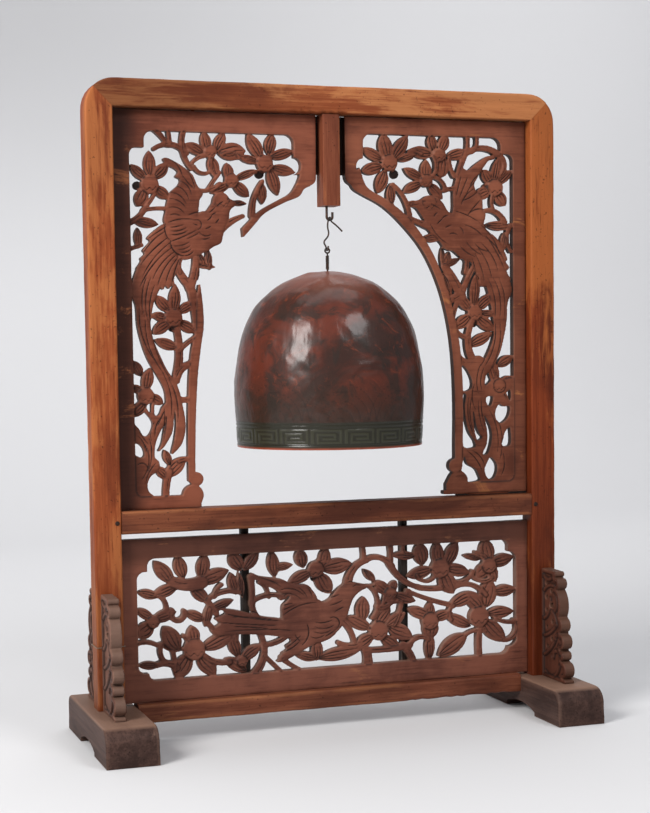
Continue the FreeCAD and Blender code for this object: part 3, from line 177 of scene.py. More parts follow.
# The trunk low on the board: its outline, then the holes through it.
right_trunk = [
    [(156, 262), (156, 400), (165, 401), (172, 406), (180, 412), (190, 407), (198, 398), (203, 390),
    (207, 386), (213, 385), (222, 386), (227, 378), (227, 262)], [(159, 400), (166, 396), (172, 384),
    (171, 374), (159.5, 373.5)], [(160, 367), (165, 367), (163, 355), (164, 340), (168, 325), (175, 314),
    (175, 307), (160, 310), (159, 340)], [(173, 348), (175, 345), (177, 333), (181, 323), (185, 318),
    (179, 315), (176, 322), (174, 335)], [(187, 343), (190, 340), (195, 330), (197, 320), (195, 308),
    (191, 299), (185, 299.5), (190, 310), (191, 320), (190, 330), (188, 338)], [(162, 297), (166, 288),
    (176, 282), (180, 275), (181, 269), (166, 267.5), (164, 274), (158, 280)], [(195, 295), (202, 288),
    (203, 280), (200, 272), (194, 269.5), (189, 274), (187.5, 282), (190, 288)], [(207, 356), (212, 353),
    (219, 353), (219, 345), (215, 338), (208, 334), (202, 339), (201, 346), (203, 352)], [(217, 328),
    (220, 327), (220, 309), (210, 308), (211, 316), (213, 323)], [(190, 364), (198, 365), (197, 357),
    (194, 353.5), (190, 358)], [(196, 400), (199, 395), (200, 388), (194, 381), (189, 377), (189, 386),
    (192, 394)], [(214, 367), (220, 372), (220, 360), (215, 365)]]
right_arch_outer = [(27, 604), (31, 597), (41, 591), (66, 578), (90, 557), (113, 529.5), (130.5, 494.5),
                    (141.5, 457), (148, 415), (150.5, 360), (150, 290)]
right_arch_inner = [(38, 622), (43, 606), (50, 597), (72, 585), (97, 565.5), (121, 534), (138.5, 497),
                    (150, 459), (158, 415), (160.5, 360), (159, 288)]

# lower board
lower_leaves = [
    (-181, 170, -203, 196, 16), (-170, 174, -177, 201, 15), (-151, 173, -145, 201, 15),
    (-197, 157, -222, 163, 11), (-176, 167, -205, 158, 13), (-154, 169, -119, 182, 16),
    (-162, 165, -142, 148, 14), (-112, 154, -117, 179, 12), (-104, 150, -108, 179, 8),
    (-105, 180, -117, 201, 16), (-102, 180, -85, 201, 13), (-66, 170, -70, 201, 14),
    (-70, 180, -45, 184, 9), (-33, 179, -38, 201, 15), (-10, 178, -6, 201, 14),
    (-22, 175, -50, 164, 13), (-18, 173, -1, 149, 18), (-24, 178, 0, 188, 12),
    (-12, 176, 24, 182, 18),
    (-16, 76, -45, 83, 11), (-19, 74, -18, 98, 14), (-20, 76, 36, 84, 15),
    (-109, 80, -83, 97, 13), (-110, 84, -118, 110, 14), (-100, 68, -125, 84, 14),
    (-153, 96, -113, 110, 16), (-159, 101, -162, 123, 15), (-164, 92, -181, 66, 20),
    (-156, 92, -136, 66, 18), (-176, 97, -194, 124, 20), (-171, 97, -199, 106, 11),
    (-198, 82, -223, 83, 9), (-205, 128, -223, 114, 18), (-204, 132, -223, 145, 11),
    (-206, 131, -179, 140, 13), (-146, 128, -169, 138, 12), (-147, 120, -140, 148, 10),
    (-143, 138, -114, 149, 10),
    (35, 113, 38, 143, 17), (38, 174, 52, 159, 9), (70, 145, 50, 159, 14), (70, 145, 77, 159, 10),
    (72, 143, 101, 134, 12), (50, 107, 70, 129, 15), (63, 106, 88, 122, 14), (48, 105, 15, 121, 15),
    (66, 108, 97, 92, 18), (50, 100, 26, 84, 14), (58, 97, 82, 79, 14), (110, 174, 106, 201, 18),
    (103, 186, 72, 188, 10), (129, 172, 128, 201, 15), (138, 171, 153, 200, 15),
    (124, 170, 91, 162, 14), (138, 170, 168, 163, 15), (132, 166, 148, 140, 20),
    (143, 126, 177, 139, 15), (120, 114, 91, 126, 14), (118, 110, 119, 132, 12),
    (120, 112, 147, 118, 12), (120, 112, 118, 90, 19), (170, 100, 139, 115, 14),
    (183, 118, 165, 140, 17), (181, 108, 213, 80, 20), (188, 114, 224, 115, 14),
    (196, 138, 227, 141, 14), (188, 120, 194, 154, 22), (192, 172, 188, 201, 19),
    (192, 171, 224, 179, 15), (194, 172, 176, 156, 16), (192, 174, 201, 150, 14),
    (184, 178, 160, 183, 8), (117, 63, 119, 98, 12), (128, 68, 165, 92, 20)]
lower_wings = [
    [(-93, 177), (-84, 173), (-68, 170), (-58, 168), (-49, 163), (-41, 161), (-30, 160.5), (-24, 155),
    (-18, 145), (-20, 136), (-40, 128), (-57, 122), (-59, 130), (-58.5, 138), (-54, 143), (-50, 148),
    (-53, 151), (-60, 152), (-67, 157), (-75, 161), (-85, 164), (-84, 167), (-92, 171)], [(-57, 123),
    (-77, 127), (-92, 131), (-108, 136), (-120, 138.5), (-129, 139.5), (-124, 134), (-136, 129),
    (-131, 123), (-141, 116.5), (-134, 110), (-120, 110.5), (-100, 109.5), (-78, 107), (-58, 103.5),
    (-45, 102), (-40, 112)], [(-46, 104), (-50, 101), (-49, 97), (-55, 93), (-54, 89), (-60, 85),
    (-59, 81), (-66, 76), (-58, 76.5), (-47, 81), (-33, 88), (-20, 94), (-8, 98), (-10, 110), (-25, 118),
    (-38, 112)]]
lower_branches = [
    (-182, 172, -168, 168, -150, 170, 12, 14), (-197, 157, -191, 150, -190, 142, 5, 5),
    (-184, 141, -180, 130, -170, 139, 6, 6), (-94, 172, -93, 158, -93, 142, 7, 6),
    (-93, 145, -76, 151, -56, 148, 5, 5), (-93, 145, -91, 134, -86, 126, 5, 6),
    (-74, 149, -76, 158, -84, 166, 4, 5), (-60, 147, -52, 152, -46, 158, 5, 6),
    (-84, 108, -80, 88, -92, 64, 6, 9), (-80, 96, -66, 98, -52, 106, 5, 6),
    (-80, 84, -70, 74, -60, 64, 5, 5), (-60, 80, -50, 72, -40, 66, 6, 5),
    (-197, 104, -197, 92, -192, 84, 5, 6), (-184, 96, -182, 84, -182, 76, 5, 5),
    (-201, 104, -212, 108, -224, 107, 5, 5), (-134, 134, -138, 142, -144, 148, 6, 6),
    (-145, 125, -138, 118, -134, 112, 6, 6), (-144, 150, -130, 157, -108, 157, 5, 6),
    (-136, 153, -134, 160, -128, 166, 4, 5), (-113, 118, -112, 112, -113, 104, 5, 6),
    (-150, 90, -138, 82, -120, 80, 6, 6), (-168, 94, -166, 104, -171, 112, 5, 5),
    (-201, 82.5, -191, 83.5, -180, 78, 6, 8), (19, 158, 27, 176, 42, 184, 10, 6),
    (40, 184, 58, 186, 72, 176, 6, 7), (70, 178, 82, 162, 107, 149, 7, 6),
    (37, 201, 38, 194, 38, 184, 5, 5), (70, 201, 71, 194, 70, 176, 6, 5),
    (105, 149, 120, 147, 132, 147, 6, 6), (91, 146, 120, 134, 147, 126, 5, 6),
    (44, 154, 54, 142, 48, 118, 4, 5), (54, 130, 64, 130, 74, 140, 5, 5),
    (58, 130, 62, 136, 64, 146, 4, 4), (147, 126, 142, 118, 144, 110, 5, 5),
    (74, 108, 79, 118, 83, 134, 4, 5), (40, 82, 42, 74, 42, 64, 9, 11), (38, 82, 66, 81, 93, 84, 6, 7),
    (93, 84, 104, 92, 116, 89, 6, 5), (85, 84, 92, 76, 98, 64, 9, 7), (10, 118, 22, 104, 26, 92, 7, 5),
    (8, 92, 20, 88, 34, 90, 6, 6), (180, 97, 179, 80, 180, 62, 7, 7), (163, 91, 173, 95, 187, 94, 4, 5),
    (150, 148, 172, 148, 188, 136, 6, 6), (148, 154, 162, 154, 172, 164, 5, 5),
    (172, 158, 186, 152, 196, 156, 4, 5), (210, 82, 226, 90, 224, 104, 5, 5),
    (200, 108, 212, 103, 228, 103, 5, 4), (86, 200, 86, 192, 90, 186, 4, 4),
    (102, 164, 112, 156, 124, 160, 4, 4), (64, 138, 82, 136, 92, 146, 4, 5),
    (176, 186, 182, 184, 188, 180, 4, 4)]
lower_border = [
    (-239.6, 43.2, -211.0, 220.5), (216.0, 43.2, 239.6, 220.5), (-239.6, 185.0, 239.6, 220.5),
    (-239.6, 43.2, 239.6, 74.0)]
lower_opening = [(-222.5, 74, 226, 185, 9), (-211, 66, 216, 199, 9)]
lower_discs = [
    (-160, 97, 12), (-205, 130, 7), (-19, 177, 9), (55, 103, 11), (131, 170, 11), (179, 111, 12),
    (192, 170, 9), (-106, 80, 6), (118, 110, 10), (-19, 167, 4.5), (62, 94, 4.5), (70, 145, 7)]
lower_body = [
    (-57, 104), (-58, 123), (-40, 132), (-20, 143), (-10, 140), (-3, 143), (1, 148), (6, 153),
    (15, 158.5), (25, 160), (34, 158), (42, 156.5), (52, 156), (42, 153), (33, 149), (26, 143),
    (21.5, 134), (17.5, 122), (14, 115), (9, 109), (2, 102), (-6, 97), (-20, 94), (-35, 96), (-46, 102)]

# ---- standing spandrels: outline of the front left one, y measured forwards from the post, z up ----
# The scrolled edge is a row of lobes: the lower foot, the crest and the upper foot of each.
SPANDREL_THICK = 13.0
SPANDREL_X = {"left": -258.5, "right": 258.0}
SPANDREL_BASE = 58.0
SPANDREL_PLINTH = 3.0
SPANDREL_TOP = 165.5
spandrel_lobes = [((50, 45), (59.5, 54), (50, 63)), ((46, 65), (52.5, 70), (46, 75)),
                  ((44, 78), (54.5, 86), (45, 94)), ((44, 97), (50, 105), (44.5, 112)),
                  ((42, 114), (45.5, 129), (38, 143)), ((36, 145), (41.5, 151), (34, 157)),
                  ((31, 158.5), (34.5, 161.5), (30, 164.5))]
spandrel_holes = [
    (9, 149, 2.4), (21, 141, 2.4), (9, 133, 2.6), (23, 125, 3.0), (9, 118, 2.4), (24, 106, 2.6),
    (10, 98, 2.4), (22, 86, 2.4), (11, 76, 2.4), (23, 66, 2.4)]
# Raised scrolls on the sides of a spandrel, as arcs: start, middle, end.
spandrel_scrolls = [((8, 46), (34, 46), (44, 62)), ((44, 62), (38, 74), (28, 66)),
                    ((6, 66), (20, 74), (34, 88)), ((34, 88), (44, 92), (40, 80)),
                    ((6, 88), (22, 94), (36, 104)), ((36, 104), (30, 114), (24, 118)),
                    ((5, 108), (16, 116), (20, 132)), ((32, 120), (36, 132), (28, 138)),
                    ((6, 141), (14, 146), (30, 148)), ((5, 157), (14, 154), (26, 158))]

# Discs set deep behind the flowers and painted near-black as shade.
left_dark_discs = [(-212, 597, 4.5), (-76, 612, 5), (-176, 447, 5)]
right_dark_discs = [(81, 615, 5), (192, 602, 4.5), (176, 449, 5)]
lower_dark_discs = [(-19, 167, 4.5), (62, 94, 4.5)]
# A knife line bends through its middle point: start, middle, end, and its width where it isn't the usual one.
left_cuts = [
    (-210, 322, -206, 305, -214, 285), (-206, 330, -203, 310, -208, 292),
    (-198, 302, -205, 294, -210, 280), (-218, 332, -212, 324, -209, 314),
    (-199, 346, -203, 338, -203, 326), (-193, 350, -198, 340, -199, 330),
    (-188, 358, -192, 350, -196, 342), (-219, 300, -212, 302, -208, 296),
    (-216, 340, -211, 328, -206, 322), (-178, 626, -169, 619, -163, 606, 1.0),
    (-160, 616, -154, 607, -150, 596), (-163, 608, -157, 600, -150, 594),
    (-169, 603, -160, 599, -154, 588), (-172, 597, -164, 594, -157, 583),
    (-177, 590, -167, 587, -160, 578), (-178, 583, -168, 581, -160, 573),
    (-179, 574, -170, 574, -162, 568), (-178, 566, -172, 567, -166, 565),
    (-158, 566, -150, 569, -143, 570), (-180, 558, -165, 562, -150, 561, 1.1),
    (-151, 561, -143.5, 557, -148, 551, 1.0), (-148, 551, -160, 545, -178, 538, 1.0),
    (-183, 557, -183.5, 548, -178, 539, 1.1), (-178, 539, -175, 529, -163, 523, 1.2),
    (-163, 523, -158, 524, -153, 528), (-178, 553, -171, 554, -163, 556),
    (-178, 549, -169, 549.5, -160, 553), (-177, 545, -168, 546, -158, 550),
    (-154, 558, -151, 556.5, -147, 555.5), (-176, 534, -166, 534, -157, 538),
    (-172, 530, -164, 530, -156, 534), (-168, 527, -161, 527, -155, 531),
    (-160, 541, -153, 544, -147, 547), (-147, 550, -142, 545, -133, 546, 1.0),
    (-137, 561, -134, 563, -132, 566), (-132, 566, -130, 568, -127, 569),
    (-128, 558, -126, 560, -124, 563), (-126, 576, -123, 579, -119, 581),
    (-135, 569, -131, 572, -128, 575), (-139, 552, -136, 553, -133, 555),
    (-144, 541, -139, 541, -134, 543), (-109, 583, -104, 581, -99, 579.5, 0.7),
    (-114, 583, -113, 584.5, -111.5, 583, 0.8), (-182, 554, -193, 547, -202, 541),
    (-183, 549, -198, 538, -208, 525), (-181, 542, -196, 530, -211, 513, 1.1),
    (-178, 537, -193, 524, -209, 501), (-176, 532, -194, 517, -212, 490, 1.1),
    (-174, 527, -187, 516, -198, 498), (-172, 524, -184, 511, -193, 490),
    (-170, 521, -178, 510, -184, 494), (-168, 520, -173, 509, -177, 492, 1.1),
    (-205, 500, -210, 480, -208, 458), (-200, 500, -206, 478, -203, 452),
    (-196, 492, -202, 470, -199, 445), (-213, 470, -211, 440, -198, 412),
    (-207, 455, -203, 425, -188, 398), (-200, 440, -193, 415, -180, 390),
    (-190, 400, -182, 380, -181, 350), (-183, 392, -175, 372, -174, 345),
    (-188, 360, -188, 345, -190, 330), (-178, 340, -178, 330, -179, 320),
    (-186, 352, -187, 340, -190, 325)]
right_cuts = [
    (168, 366, 167, 342, 175, 318), (171, 364, 169, 346, 173, 326), (180, 362, 181, 342, 187, 324),
    (184, 362, 184, 346, 189, 330), (193, 350, 202, 330, 203, 300), (197, 350, 207, 330, 206, 292),
    (183, 402, 178, 386, 180, 368), (187, 398, 183, 386, 184, 372), (170, 304, 180, 298, 187, 284),
    (164, 304, 174, 296, 184, 278), (175, 380, 172, 366, 176, 350), (210, 300, 212, 288, 208, 274),
    (151, 575, 168, 570, 183, 562, 0.9), (162, 560, 176, 555, 187, 546, 1.0),
    (184, 560, 197, 547, 207, 526, 1.0), (187, 548, 201, 537, 213, 519, 0.9),
    (157, 557, 161, 554, 162, 549, 1.0), (165, 541, 174, 532, 184, 526), (176, 539, 185, 532, 193, 530),
    (158, 536, 167, 528, 177, 524), (122, 560, 130, 548, 143, 538), (122, 583, 128, 580, 134, 577),
    (184, 617, 176, 611, 170, 600), (182, 611, 172, 603, 165, 590), (181, 598, 172, 591, 162, 587),
    (184, 588, 176, 580, 168, 571), (188, 577, 178, 577, 168, 571), (176, 600, 167, 594, 160, 582),
    (168, 613, 163, 602, 158, 590), (160, 614, 157, 604, 154, 592), (130, 560, 133, 563, 137, 566),
    (136, 566, 140, 569, 144, 570), (126, 568, 128, 571, 131, 573), (140, 556, 144, 558, 148, 559),
    (145, 549, 150, 550, 155, 548), (109, 582, 103, 581, 98, 580, 0.7),
    (116, 584, 115, 585.5, 113.5, 584, 0.8), (183, 540, 196, 527, 205, 508),
    (180, 534, 190, 520, 197, 500), (176, 528, 183, 514, 188, 495), (173, 522, 177, 508, 180, 494),
    (190, 548, 202, 531, 214, 508), (192, 500, 200, 480, 201, 455), (199, 500, 207, 480, 207, 455),
    (206, 500, 213, 478, 212, 450), (201, 450, 200, 425, 188, 400), (207, 450, 207, 425, 196, 398),
    (196, 440, 193, 420, 183, 400)]
lower_cuts = [
    (-58, 128, -41, 137, -19, 140, 1.1), (-58, 139, -53, 140, -47, 141), (-58, 134, -52, 136, -45, 138),
    (-62, 156, -48, 157, -33, 148), (-60, 151, -47, 151, -36, 143), (-80, 170, -70, 166, -60, 160),
    (-88, 173, -74, 168, -62, 164), (-30, 158, -26, 152, -24, 146), (-40, 158, -34, 153, -30, 146),
    (17, 160, 24, 161, 30, 158, 0.8), (24, 155, 30, 157, 34, 155, 0.8), (-4, 121, 7, 118, 3, 108, 1.1),
    (3, 108, -3, 104, -10, 101), (-31, 117, -29, 105, -37, 93, 1.2), (-21, 118, -9, 117, -1, 119),
    (-22, 113, -9, 110, 1, 113), (-24, 108, -12, 105, -2, 108), (-27, 102, -19, 100, -10, 103),
    (-45, 106, -42, 101, -38, 97), (-58, 90, -48, 96, -38, 104), (-62, 86, -50, 90, -40, 97),
    (-60, 127, -90, 133, -128, 141), (-60, 122, -95, 127, -132, 136, 1.0), (-62, 117, -95, 120, -134, 125),
    (-60, 112, -90, 114, -126, 114), (-70, 124, -95, 128, -118, 130), (-80, 131, -100, 136, -120, 141),
    (-75, 114, -95, 117, -115, 119), (-48, 110, -60, 112, -72, 113), (-15, 152, -6, 152, 2, 151),
    (-10, 145, 0, 145, 8, 148), (-4, 136, 6, 138, 12, 141), (2, 128, 8, 131, 13, 133)]

# ---------------------------------------------------------------- plain geometry in the board's plane

def catmull(points, closed, steps=8):
    """A smooth line through the points."""
    points = np.array(points, float)
    count = len(points)
    spans = count if closed else count - 1
    pieces = []
    for index in range(spans):
        if closed:
            p0, p1, p2, p3 = (points[(index + k) % count] for k in (-1, 0, 1, 2))
        else:
            p0, p1, p2, p3 = (points[min(max(index + k, 0), count - 1)] for k in (-1, 0, 1, 2))
        t = np.arange(steps)[:, None] / steps
        pieces.append(0.5 * (2 * p1 + (p2 - p0) * t + (2 * p0 - 5 * p1 + 4 * p2 - p3) * t ** 2
                             + (3 * p1 - p0 - 3 * p2 + p3) * t ** 3))
    if not closed:
        pieces.append(points[-1:])
    return np.vstack(pieces)


def arc_line(first, middle, last, steps=14):
    """Points along the circle through three points, or along the straight line if they are in line."""
    a, b, c = (np.array(p, float) for p in (first, middle, last))
    cross = (b[0] - a[0]) * (c[1] - b[1]) - (b[1] - a[1]) * (c[0] - b[0])
    t = np.linspace(0, 1, steps + 1)[:, None]
    if abs(cross) < 1e-3:
        return a + (c - a) * t
    d = 2 * (a[0] * (b[1] - c[1]) + b[0] * (c[1] - a[1]) + c[0] * (a[1] - b[1]))
    aa, bb, cc = (p @ p for p in (a, b, c))
    centre = np.array([(aa * (b[1] - c[1]) + bb * (c[1] - a[1]) + cc * (a[1] - b[1])) / d,
                       (aa * (c[0] - b[0]) + bb * (a[0] - c[0]) + cc * (b[0] - a[0])) / d])
    angles = [math.atan2(*(p - centre)[::-1]) for p in (a, b, c)]
    full = 2 * math.pi
    turn_b = (angles[1] - angles[0]) % full
    turn_c = (angles[2] - angles[0]) % full
    if turn_b > turn_c:
        turn_c -= full
    angle = angles[0] + turn_c * t
    radius = np.linalg.norm(a - centre)
    return centre + radius * np.hstack([np.cos(angle), np.sin(angle)])


def polygon_distance(px, pz, polygon):
    """Distance to a closed polygon's edge, negative inside."""
    best = np.full(px.shape, 1e9)
    inside = np.zeros(px.shape, bool)
    for (ax, az), (bx, bz) in zip(polygon, np.roll(polygon, -1, axis=0)):
        ex, ez = bx - ax, bz - az
        length = ex * ex + ez * ez
        if length < 1e-12:
            continue
        t = np.clip(((px - ax) * ex + (pz - az) * ez) / length, 0, 1)
        best = np.minimum(best, (px - ax - t * ex) ** 2 + (pz - az - t * ez) ** 2)
        if abs(ez) > 1e-12:
            crosses = (az > pz) != (bz > pz)
            inside ^= crosses & (px < ax + (pz - az) / ez * ex)
    best = np.sqrt(best)
    return np.where(inside, -best, best)


def from_segment(px, pz, start, end):
    """How far along a segment each point's nearest place is, 0 to 1, and the offset from it in x and in z."""
    (ax, az), (bx, bz) = start, end
    ex, ez = bx - ax, bz - az
    t = np.clip(((px - ax) * ex + (pz - az) * ez) / (ex * ex + ez * ez), 0, 1)
    return t, px - ax - t * ex, pz - az - t * ez


def soft_min(a, b, radius):
    """The lower of two distances, with the inner corners between the shapes filled."""
    h = np.clip(0.5 + 0.5 * (b - a) / radius, 0, 1)
    return b + (a - b) * h - radius * h * (1 - h)


def rounded_box(px, pz, x0, z0, x1, z1, radius):
    """Distance to the edge of a box with rounded corners, negative inside."""
    gx = np.abs(px - (x0 + x1) / 2) - (x1 - x0) / 2 + radius
    gz = np.abs(pz - (z0 + z1) / 2) - (z1 - z0) / 2 + radius
    return np.hypot(np.maximum(gx, 0), np.maximum(gz, 0)) + np.minimum(np.maximum(gx, gz), 0) - radius


def ramp(value, low, high):
    """0 below low, 1 above high, smooth between."""
    t = np.clip((value - low) / (high - low), 0, 1)
    return t * t * (3 - 2 * t)


def wobble(points, scale, seed):
    """Smooth, repeatable unevenness from -1 to 1 for each point."""
    points = np.asarray(points, float) / scale
    total = np.zeros(len(points))
    weight = 0.0
    for octave in range(4):
        angle = np.array([seed * 1.7 + octave * 2.3, seed * 0.9 + octave * 1.1, seed * 2.9 + octave * 0.7])
        directions = np.array([[math.sin(angle[0]), math.cos(angle[1]), math.sin(angle[2] + 1)],
                               [math.cos(angle[2]), math.sin(angle[0] + 2), math.cos(angle[1] + 1)],
                               [math.sin(angle[1] + 3), math.sin(angle[2]), math.cos(angle[0])]])
        factor = 1.9 ** octave
        part = points @ directions.T * factor + angle
        strength = 0.6 ** octave
        total += strength * np.sin(part[:, 0] + 1.3 * np.sin(part[:, 1])) * np.cos(part[:, 2])
        weight += strength
    return total / weight


# ---------------------------------------------------------------- meshes

def make_object(name, points, faces, material, body, replaces=(), values=None, smooth=True):
    """A mesh piece from points in millimetres, riding on a body."""
    mesh = bpy.data.meshes.new(name)
    mesh.from_pydata((np.asarray(points, float) * MM).tolist(), [], faces)
    mesh.update()
    for key, array in (values or {}).items():
        mesh.attributes.new(key, "FLOAT", "POINT").data.foreach_set("value", np.asarray(array, np.float32))
    flags = np.full(len(mesh.polygons), smooth) if isinstance(smooth, bool) else np.asarray(smooth)
    mesh.polygons.foreach_set("use_smooth", flags)
    mesh.materials.append(material)
    piece = bpy.data.objects.new(name, mesh)
    bpy.context.scene.collection.objects.link(piece)
    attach(piece, body)
    if replaces:
        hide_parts(*replaces)
    return piece


BIRD_TONE = 0.3
BORDER_TONE = 1.0
# A tone that paints a deep knob near-black as shade.
KNOB_TONE = -1.0
LEAF_LEVEL = -0.6
LEAF_CUTS = (-0.5, 0.0, 0.5)
LEAF_CUT_REACH = 0.75
BRANCH_LEVEL = -1.3
DISC_LEVEL = -0.35
RIBBON_LEVEL = -0.2
KNOB_LEVEL = -5.0
FAR = 50.0
NO_CUT = 3.0


class Relief:
    """A carved board on a grid in its plane: what is solid, how high it is and how it is engraved."""

    def __init__(self, low, high, step):
        self.step = step
        self.low = np.array(low, float) - 1.5 * step
        count = np.ceil((np.array(high, float) + 1.5 * step - self.low) / step).astype(int) + 1
        self.x, self.z = np.meshgrid(self.low[0] + np.arange(count[0]) * step,
                                     self.low[1] + np.arange(count[1]) * step)
        shape = self.x.shape
        self.distance = np.full(shape, FAR)
        self.height = np.full(shape, -60.0)
        self.own = np.full(shape, FAR)
        self.values = {"tone": np.zeros(shape), "knife": np.full(shape, NO_CUT)}
        self.count = 0

    def window(self, points, reach):
        """The part of the grid round some points."""
        points = np.asarray(points, float)
        low = np.floor((points.min(0) - reach - self.low) / self.step).astype(int)
        high = np.ceil((points.max(0) + reach - self.low) / self.step).astype(int) + 1
        rows, columns = self.x.shape
        return (slice(max(low[1], 0), min(max(high[1], 0), rows)),
                slice(max(low[0], 0), min(max(high[0], 0), columns)))

    def put(self, area, distance, height, knife=NO_CUT, tone=0.0, blend=1.6):
        """Add one shape: it is solid where distance is negative, and shows where it is the highest.

        knife is how far a point is from the nearest cut line on the shape.
        """
        self.distance[area] = soft_min(self.distance[area], distance, blend)
        height = height - 1.6 * np.maximum(distance, 0)
        wins = (distance < 1.6) & (height > self.height[area])
        self.height[area] = np.where(wins, height, self.height[area])
        joined = (self.values["tone"][area] == tone) & (tone in (BIRD_TONE, BORDER_TONE))
        self.own[area] = np.where(joined, np.minimum(self.own[area], distance),
                                  np.where(wins, distance, self.own[area]))
        knife = np.clip(knife, -1.0, NO_CUT)
        self.values["knife"][area] = np.where(wins, knife, self.values["knife"][area])
        self.values["tone"][area] = np.where(wins, tone, self.values["tone"][area])
        self.count += 1

    def spread(self):
        """A repeatable number from 0 to 1 for the next shape."""
        return (self.count * 0.61803) % 1.0

    def leaf(self, x0, z0, x1, z1, width):
        """A pointed leaf between two arcs, with cut lines that start at its base and fade before its tip."""
        base, tip = np.array([x0, z0], float), np.array([x1, z1], float)
        length = np.linalg.norm(tip - base)
        along = (tip - base) / length
        across = np.array([along[1], -along[0]])
        half = width / 2
        middle = (base + tip) / 2
        area = self.window([base, tip, middle + across * half, middle - across * half], 3)
        dx, dz = self.x[area] - middle[0], self.z[area] - middle[1]
        forward = dx * along[0] + dz * along[1]
        s = dx * across[0] + dz * across[1]
        u = forward / (length / 2)
        radius = ((length / 2) ** 2 + half ** 2) / (2 * half)
        centre = radius - half
        distance = np.maximum(np.hypot(forward, s + centre), np.hypot(forward, s - centre)) - radius
        local = np.maximum(half * (1 - u * u), 0.5)
        spread = self.spread()
        tilt = (spread - 0.5) * 1.5
        share = np.clip(s / local, -1, 1)
        height = (LEAF_LEVEL - 1.3 * spread + tilt * share * local / half - 0.7 * share ** 2
                  - 0.6 * np.clip(u, -1, 1) ** 2 - 0.7 * ramp(-u, 0.4, 1.0))
        knife = np.full(u.shape, NO_CUT)
        for number, line in enumerate(LEAF_CUTS):
            last = 2 * LEAF_CUT_REACH * (0.75 + 0.5 * ((spread * 7.3 + number * 0.37) % 1.0)) - 1
            beyond = np.maximum(u - last, 0) + np.maximum(-0.86 - u, 0)
            taper = 0.20 * (1 - ramp(u, last - 0.7, last))
            sway = 0.10 * np.sin(u * 2.5 + spread * 6.0)
            knife = np.minimum(knife, np.abs(s - (line + sway) * local) + beyond * length / 2 + 0.12 - taper)
        self.put(area, distance, height, knife, 0.5 * spread)

    def branch(self, x0, z0, xm, zm, x1, z1, start_width, end_width):
        """A round branch along an arc."""
        line = arc_line((x0, z0), (xm, zm), (x1, z1))
        area = self.window(line, max(start_width, end_width))
        px, pz = self.x[area], self.z[area]
        best = np.full(px.shape, 1e9)
        side = np.zeros(px.shape)
        where = np.zeros(px.shape)
        for index in range(len(line) - 1):
            t, gx, gz = from_segment(px, pz, line[index], line[index + 1])
            ex, ez = line[index + 1] - line[index]
            reach = np.hypot(gx, gz)
            nearer = reach < best
            best = np.where(nearer, reach, best)
            side = np.where(nearer, np.sign(ex * gz - ez * gx), side)
            where = np.where(nearer, (index + t) / (len(line) - 1), where)
        half = (start_width + (end_width - start_width) * where) / 2
        share = np.clip(best / half, 0, 1)
        spread = self.spread()
        height = BRANCH_LEVEL + 0.9 * np.sqrt(1 - 0.9 * share ** 2) - 0.6 * spread
        length = np.linalg.norm(np.diff(line, axis=0), axis=1).sum()
        gap = np.maximum(np.abs(where - 0.25 - 0.5 * spread) - 0.22, 0) * length
        knife = np.abs(side * best - 0.22 * half) + gap + 0.08
        self.put(area, best - half, height, knife, 0.4)

    def disc(self, x, z, radius, low=False):
        """A flower's heart, a scroll or a knob; a low one is a knob deep behind the flower, painted
        near-black as shade.
        """
        area = self.window([(x - radius, z - radius), (x + radius, z + radius)], 3)
        dx, dz = self.x[area] - x, self.z[area] - z
        reach = np.hypot(dx, dz)
        if low:
            self.put(area, reach - radius, KNOB_LEVEL - 0.15 * reach, tone=KNOB_TONE, blend=0.8)
            return
        share = np.clip(reach / radius, 0, 1)
        height = DISC_LEVEL + 0.7 * np.sqrt(1 - 0.95 * share ** 2)
        scallop = (0.14 * np.cos(9.0 * dx / radius + 0.6) - 0.50 + 0.25 * (dx / radius) ** 2) * radius
        knife = np.minimum(NO_CUT, np.abs(dz - scallop) + 2.0 * (np.abs(dx) > 0.85 * radius))
        self.put(area, reach - radius, height, knife, 0.55)

    def shape(self, outline, level, dome, steps=8, spread=9.0, holes=()):
        """A closed smooth shape, such as a bird's body, less its holes; its cuts are made later."""
        polygon = catmull(outline, True, steps)
        area = self.window(polygon, 3)
        distance = polygon_distance(self.x[area], self.z[area], polygon)
        for hole in holes:
            rim = polygon_distance(self.x[area], self.z[area], catmull(hole, True, steps))
            distance = np.maximum(distance, -rim)
        inset = np.maximum(-distance, 0)
        height = level - dome + dome * np.sqrt(np.clip(1 - (1 - np.minimum(inset / spread, 1)) ** 2, 0, 1))
        self.put(area, distance, height, tone=BIRD_TONE)

    def cut(self, x0, z0, xm, zm, x1, z1, width=0.9):
        """A knife line along an arc, on top of whatever is there; it thins towards its ends."""
        line = arc_line((x0, z0), (xm, zm), (x1, z1), 10)
        area = self.window(line, 4)
        px, pz = self.x[area], self.z[area]
        best = np.full(px.shape, NO_CUT)
        for index in range(len(line) - 1):
            t, gx, gz = from_segment(px, pz, line[index], line[index + 1])
            share = (index + t) / (len(line) - 1)
            taper = width / 2 * np.sqrt(np.clip(4 * share * (1 - share), 0, 1))
            best = np.minimum(best, np.hypot(gx, gz) + 0.35 - taper)
        self.values["knife"][area] = np.minimum(self.values["knife"][area], best)

    def fan(self, cuts):
        """Several knife lines."""
        for values in cuts:
            self.cut(*values)

    def ribbon(self, outer, inner):
        """The curved border between two smooth lines."""
        outline = np.vstack([catmull(outer, False), catmull(inner, False)[::-1]])
        area = self.window(outline, 3)
        distance = polygon_distance(self.x[area], self.z[area], outline)
        self.put(area, distance, np.full(distance.shape, RIBBON_LEVEL), tone=BORDER_TONE)

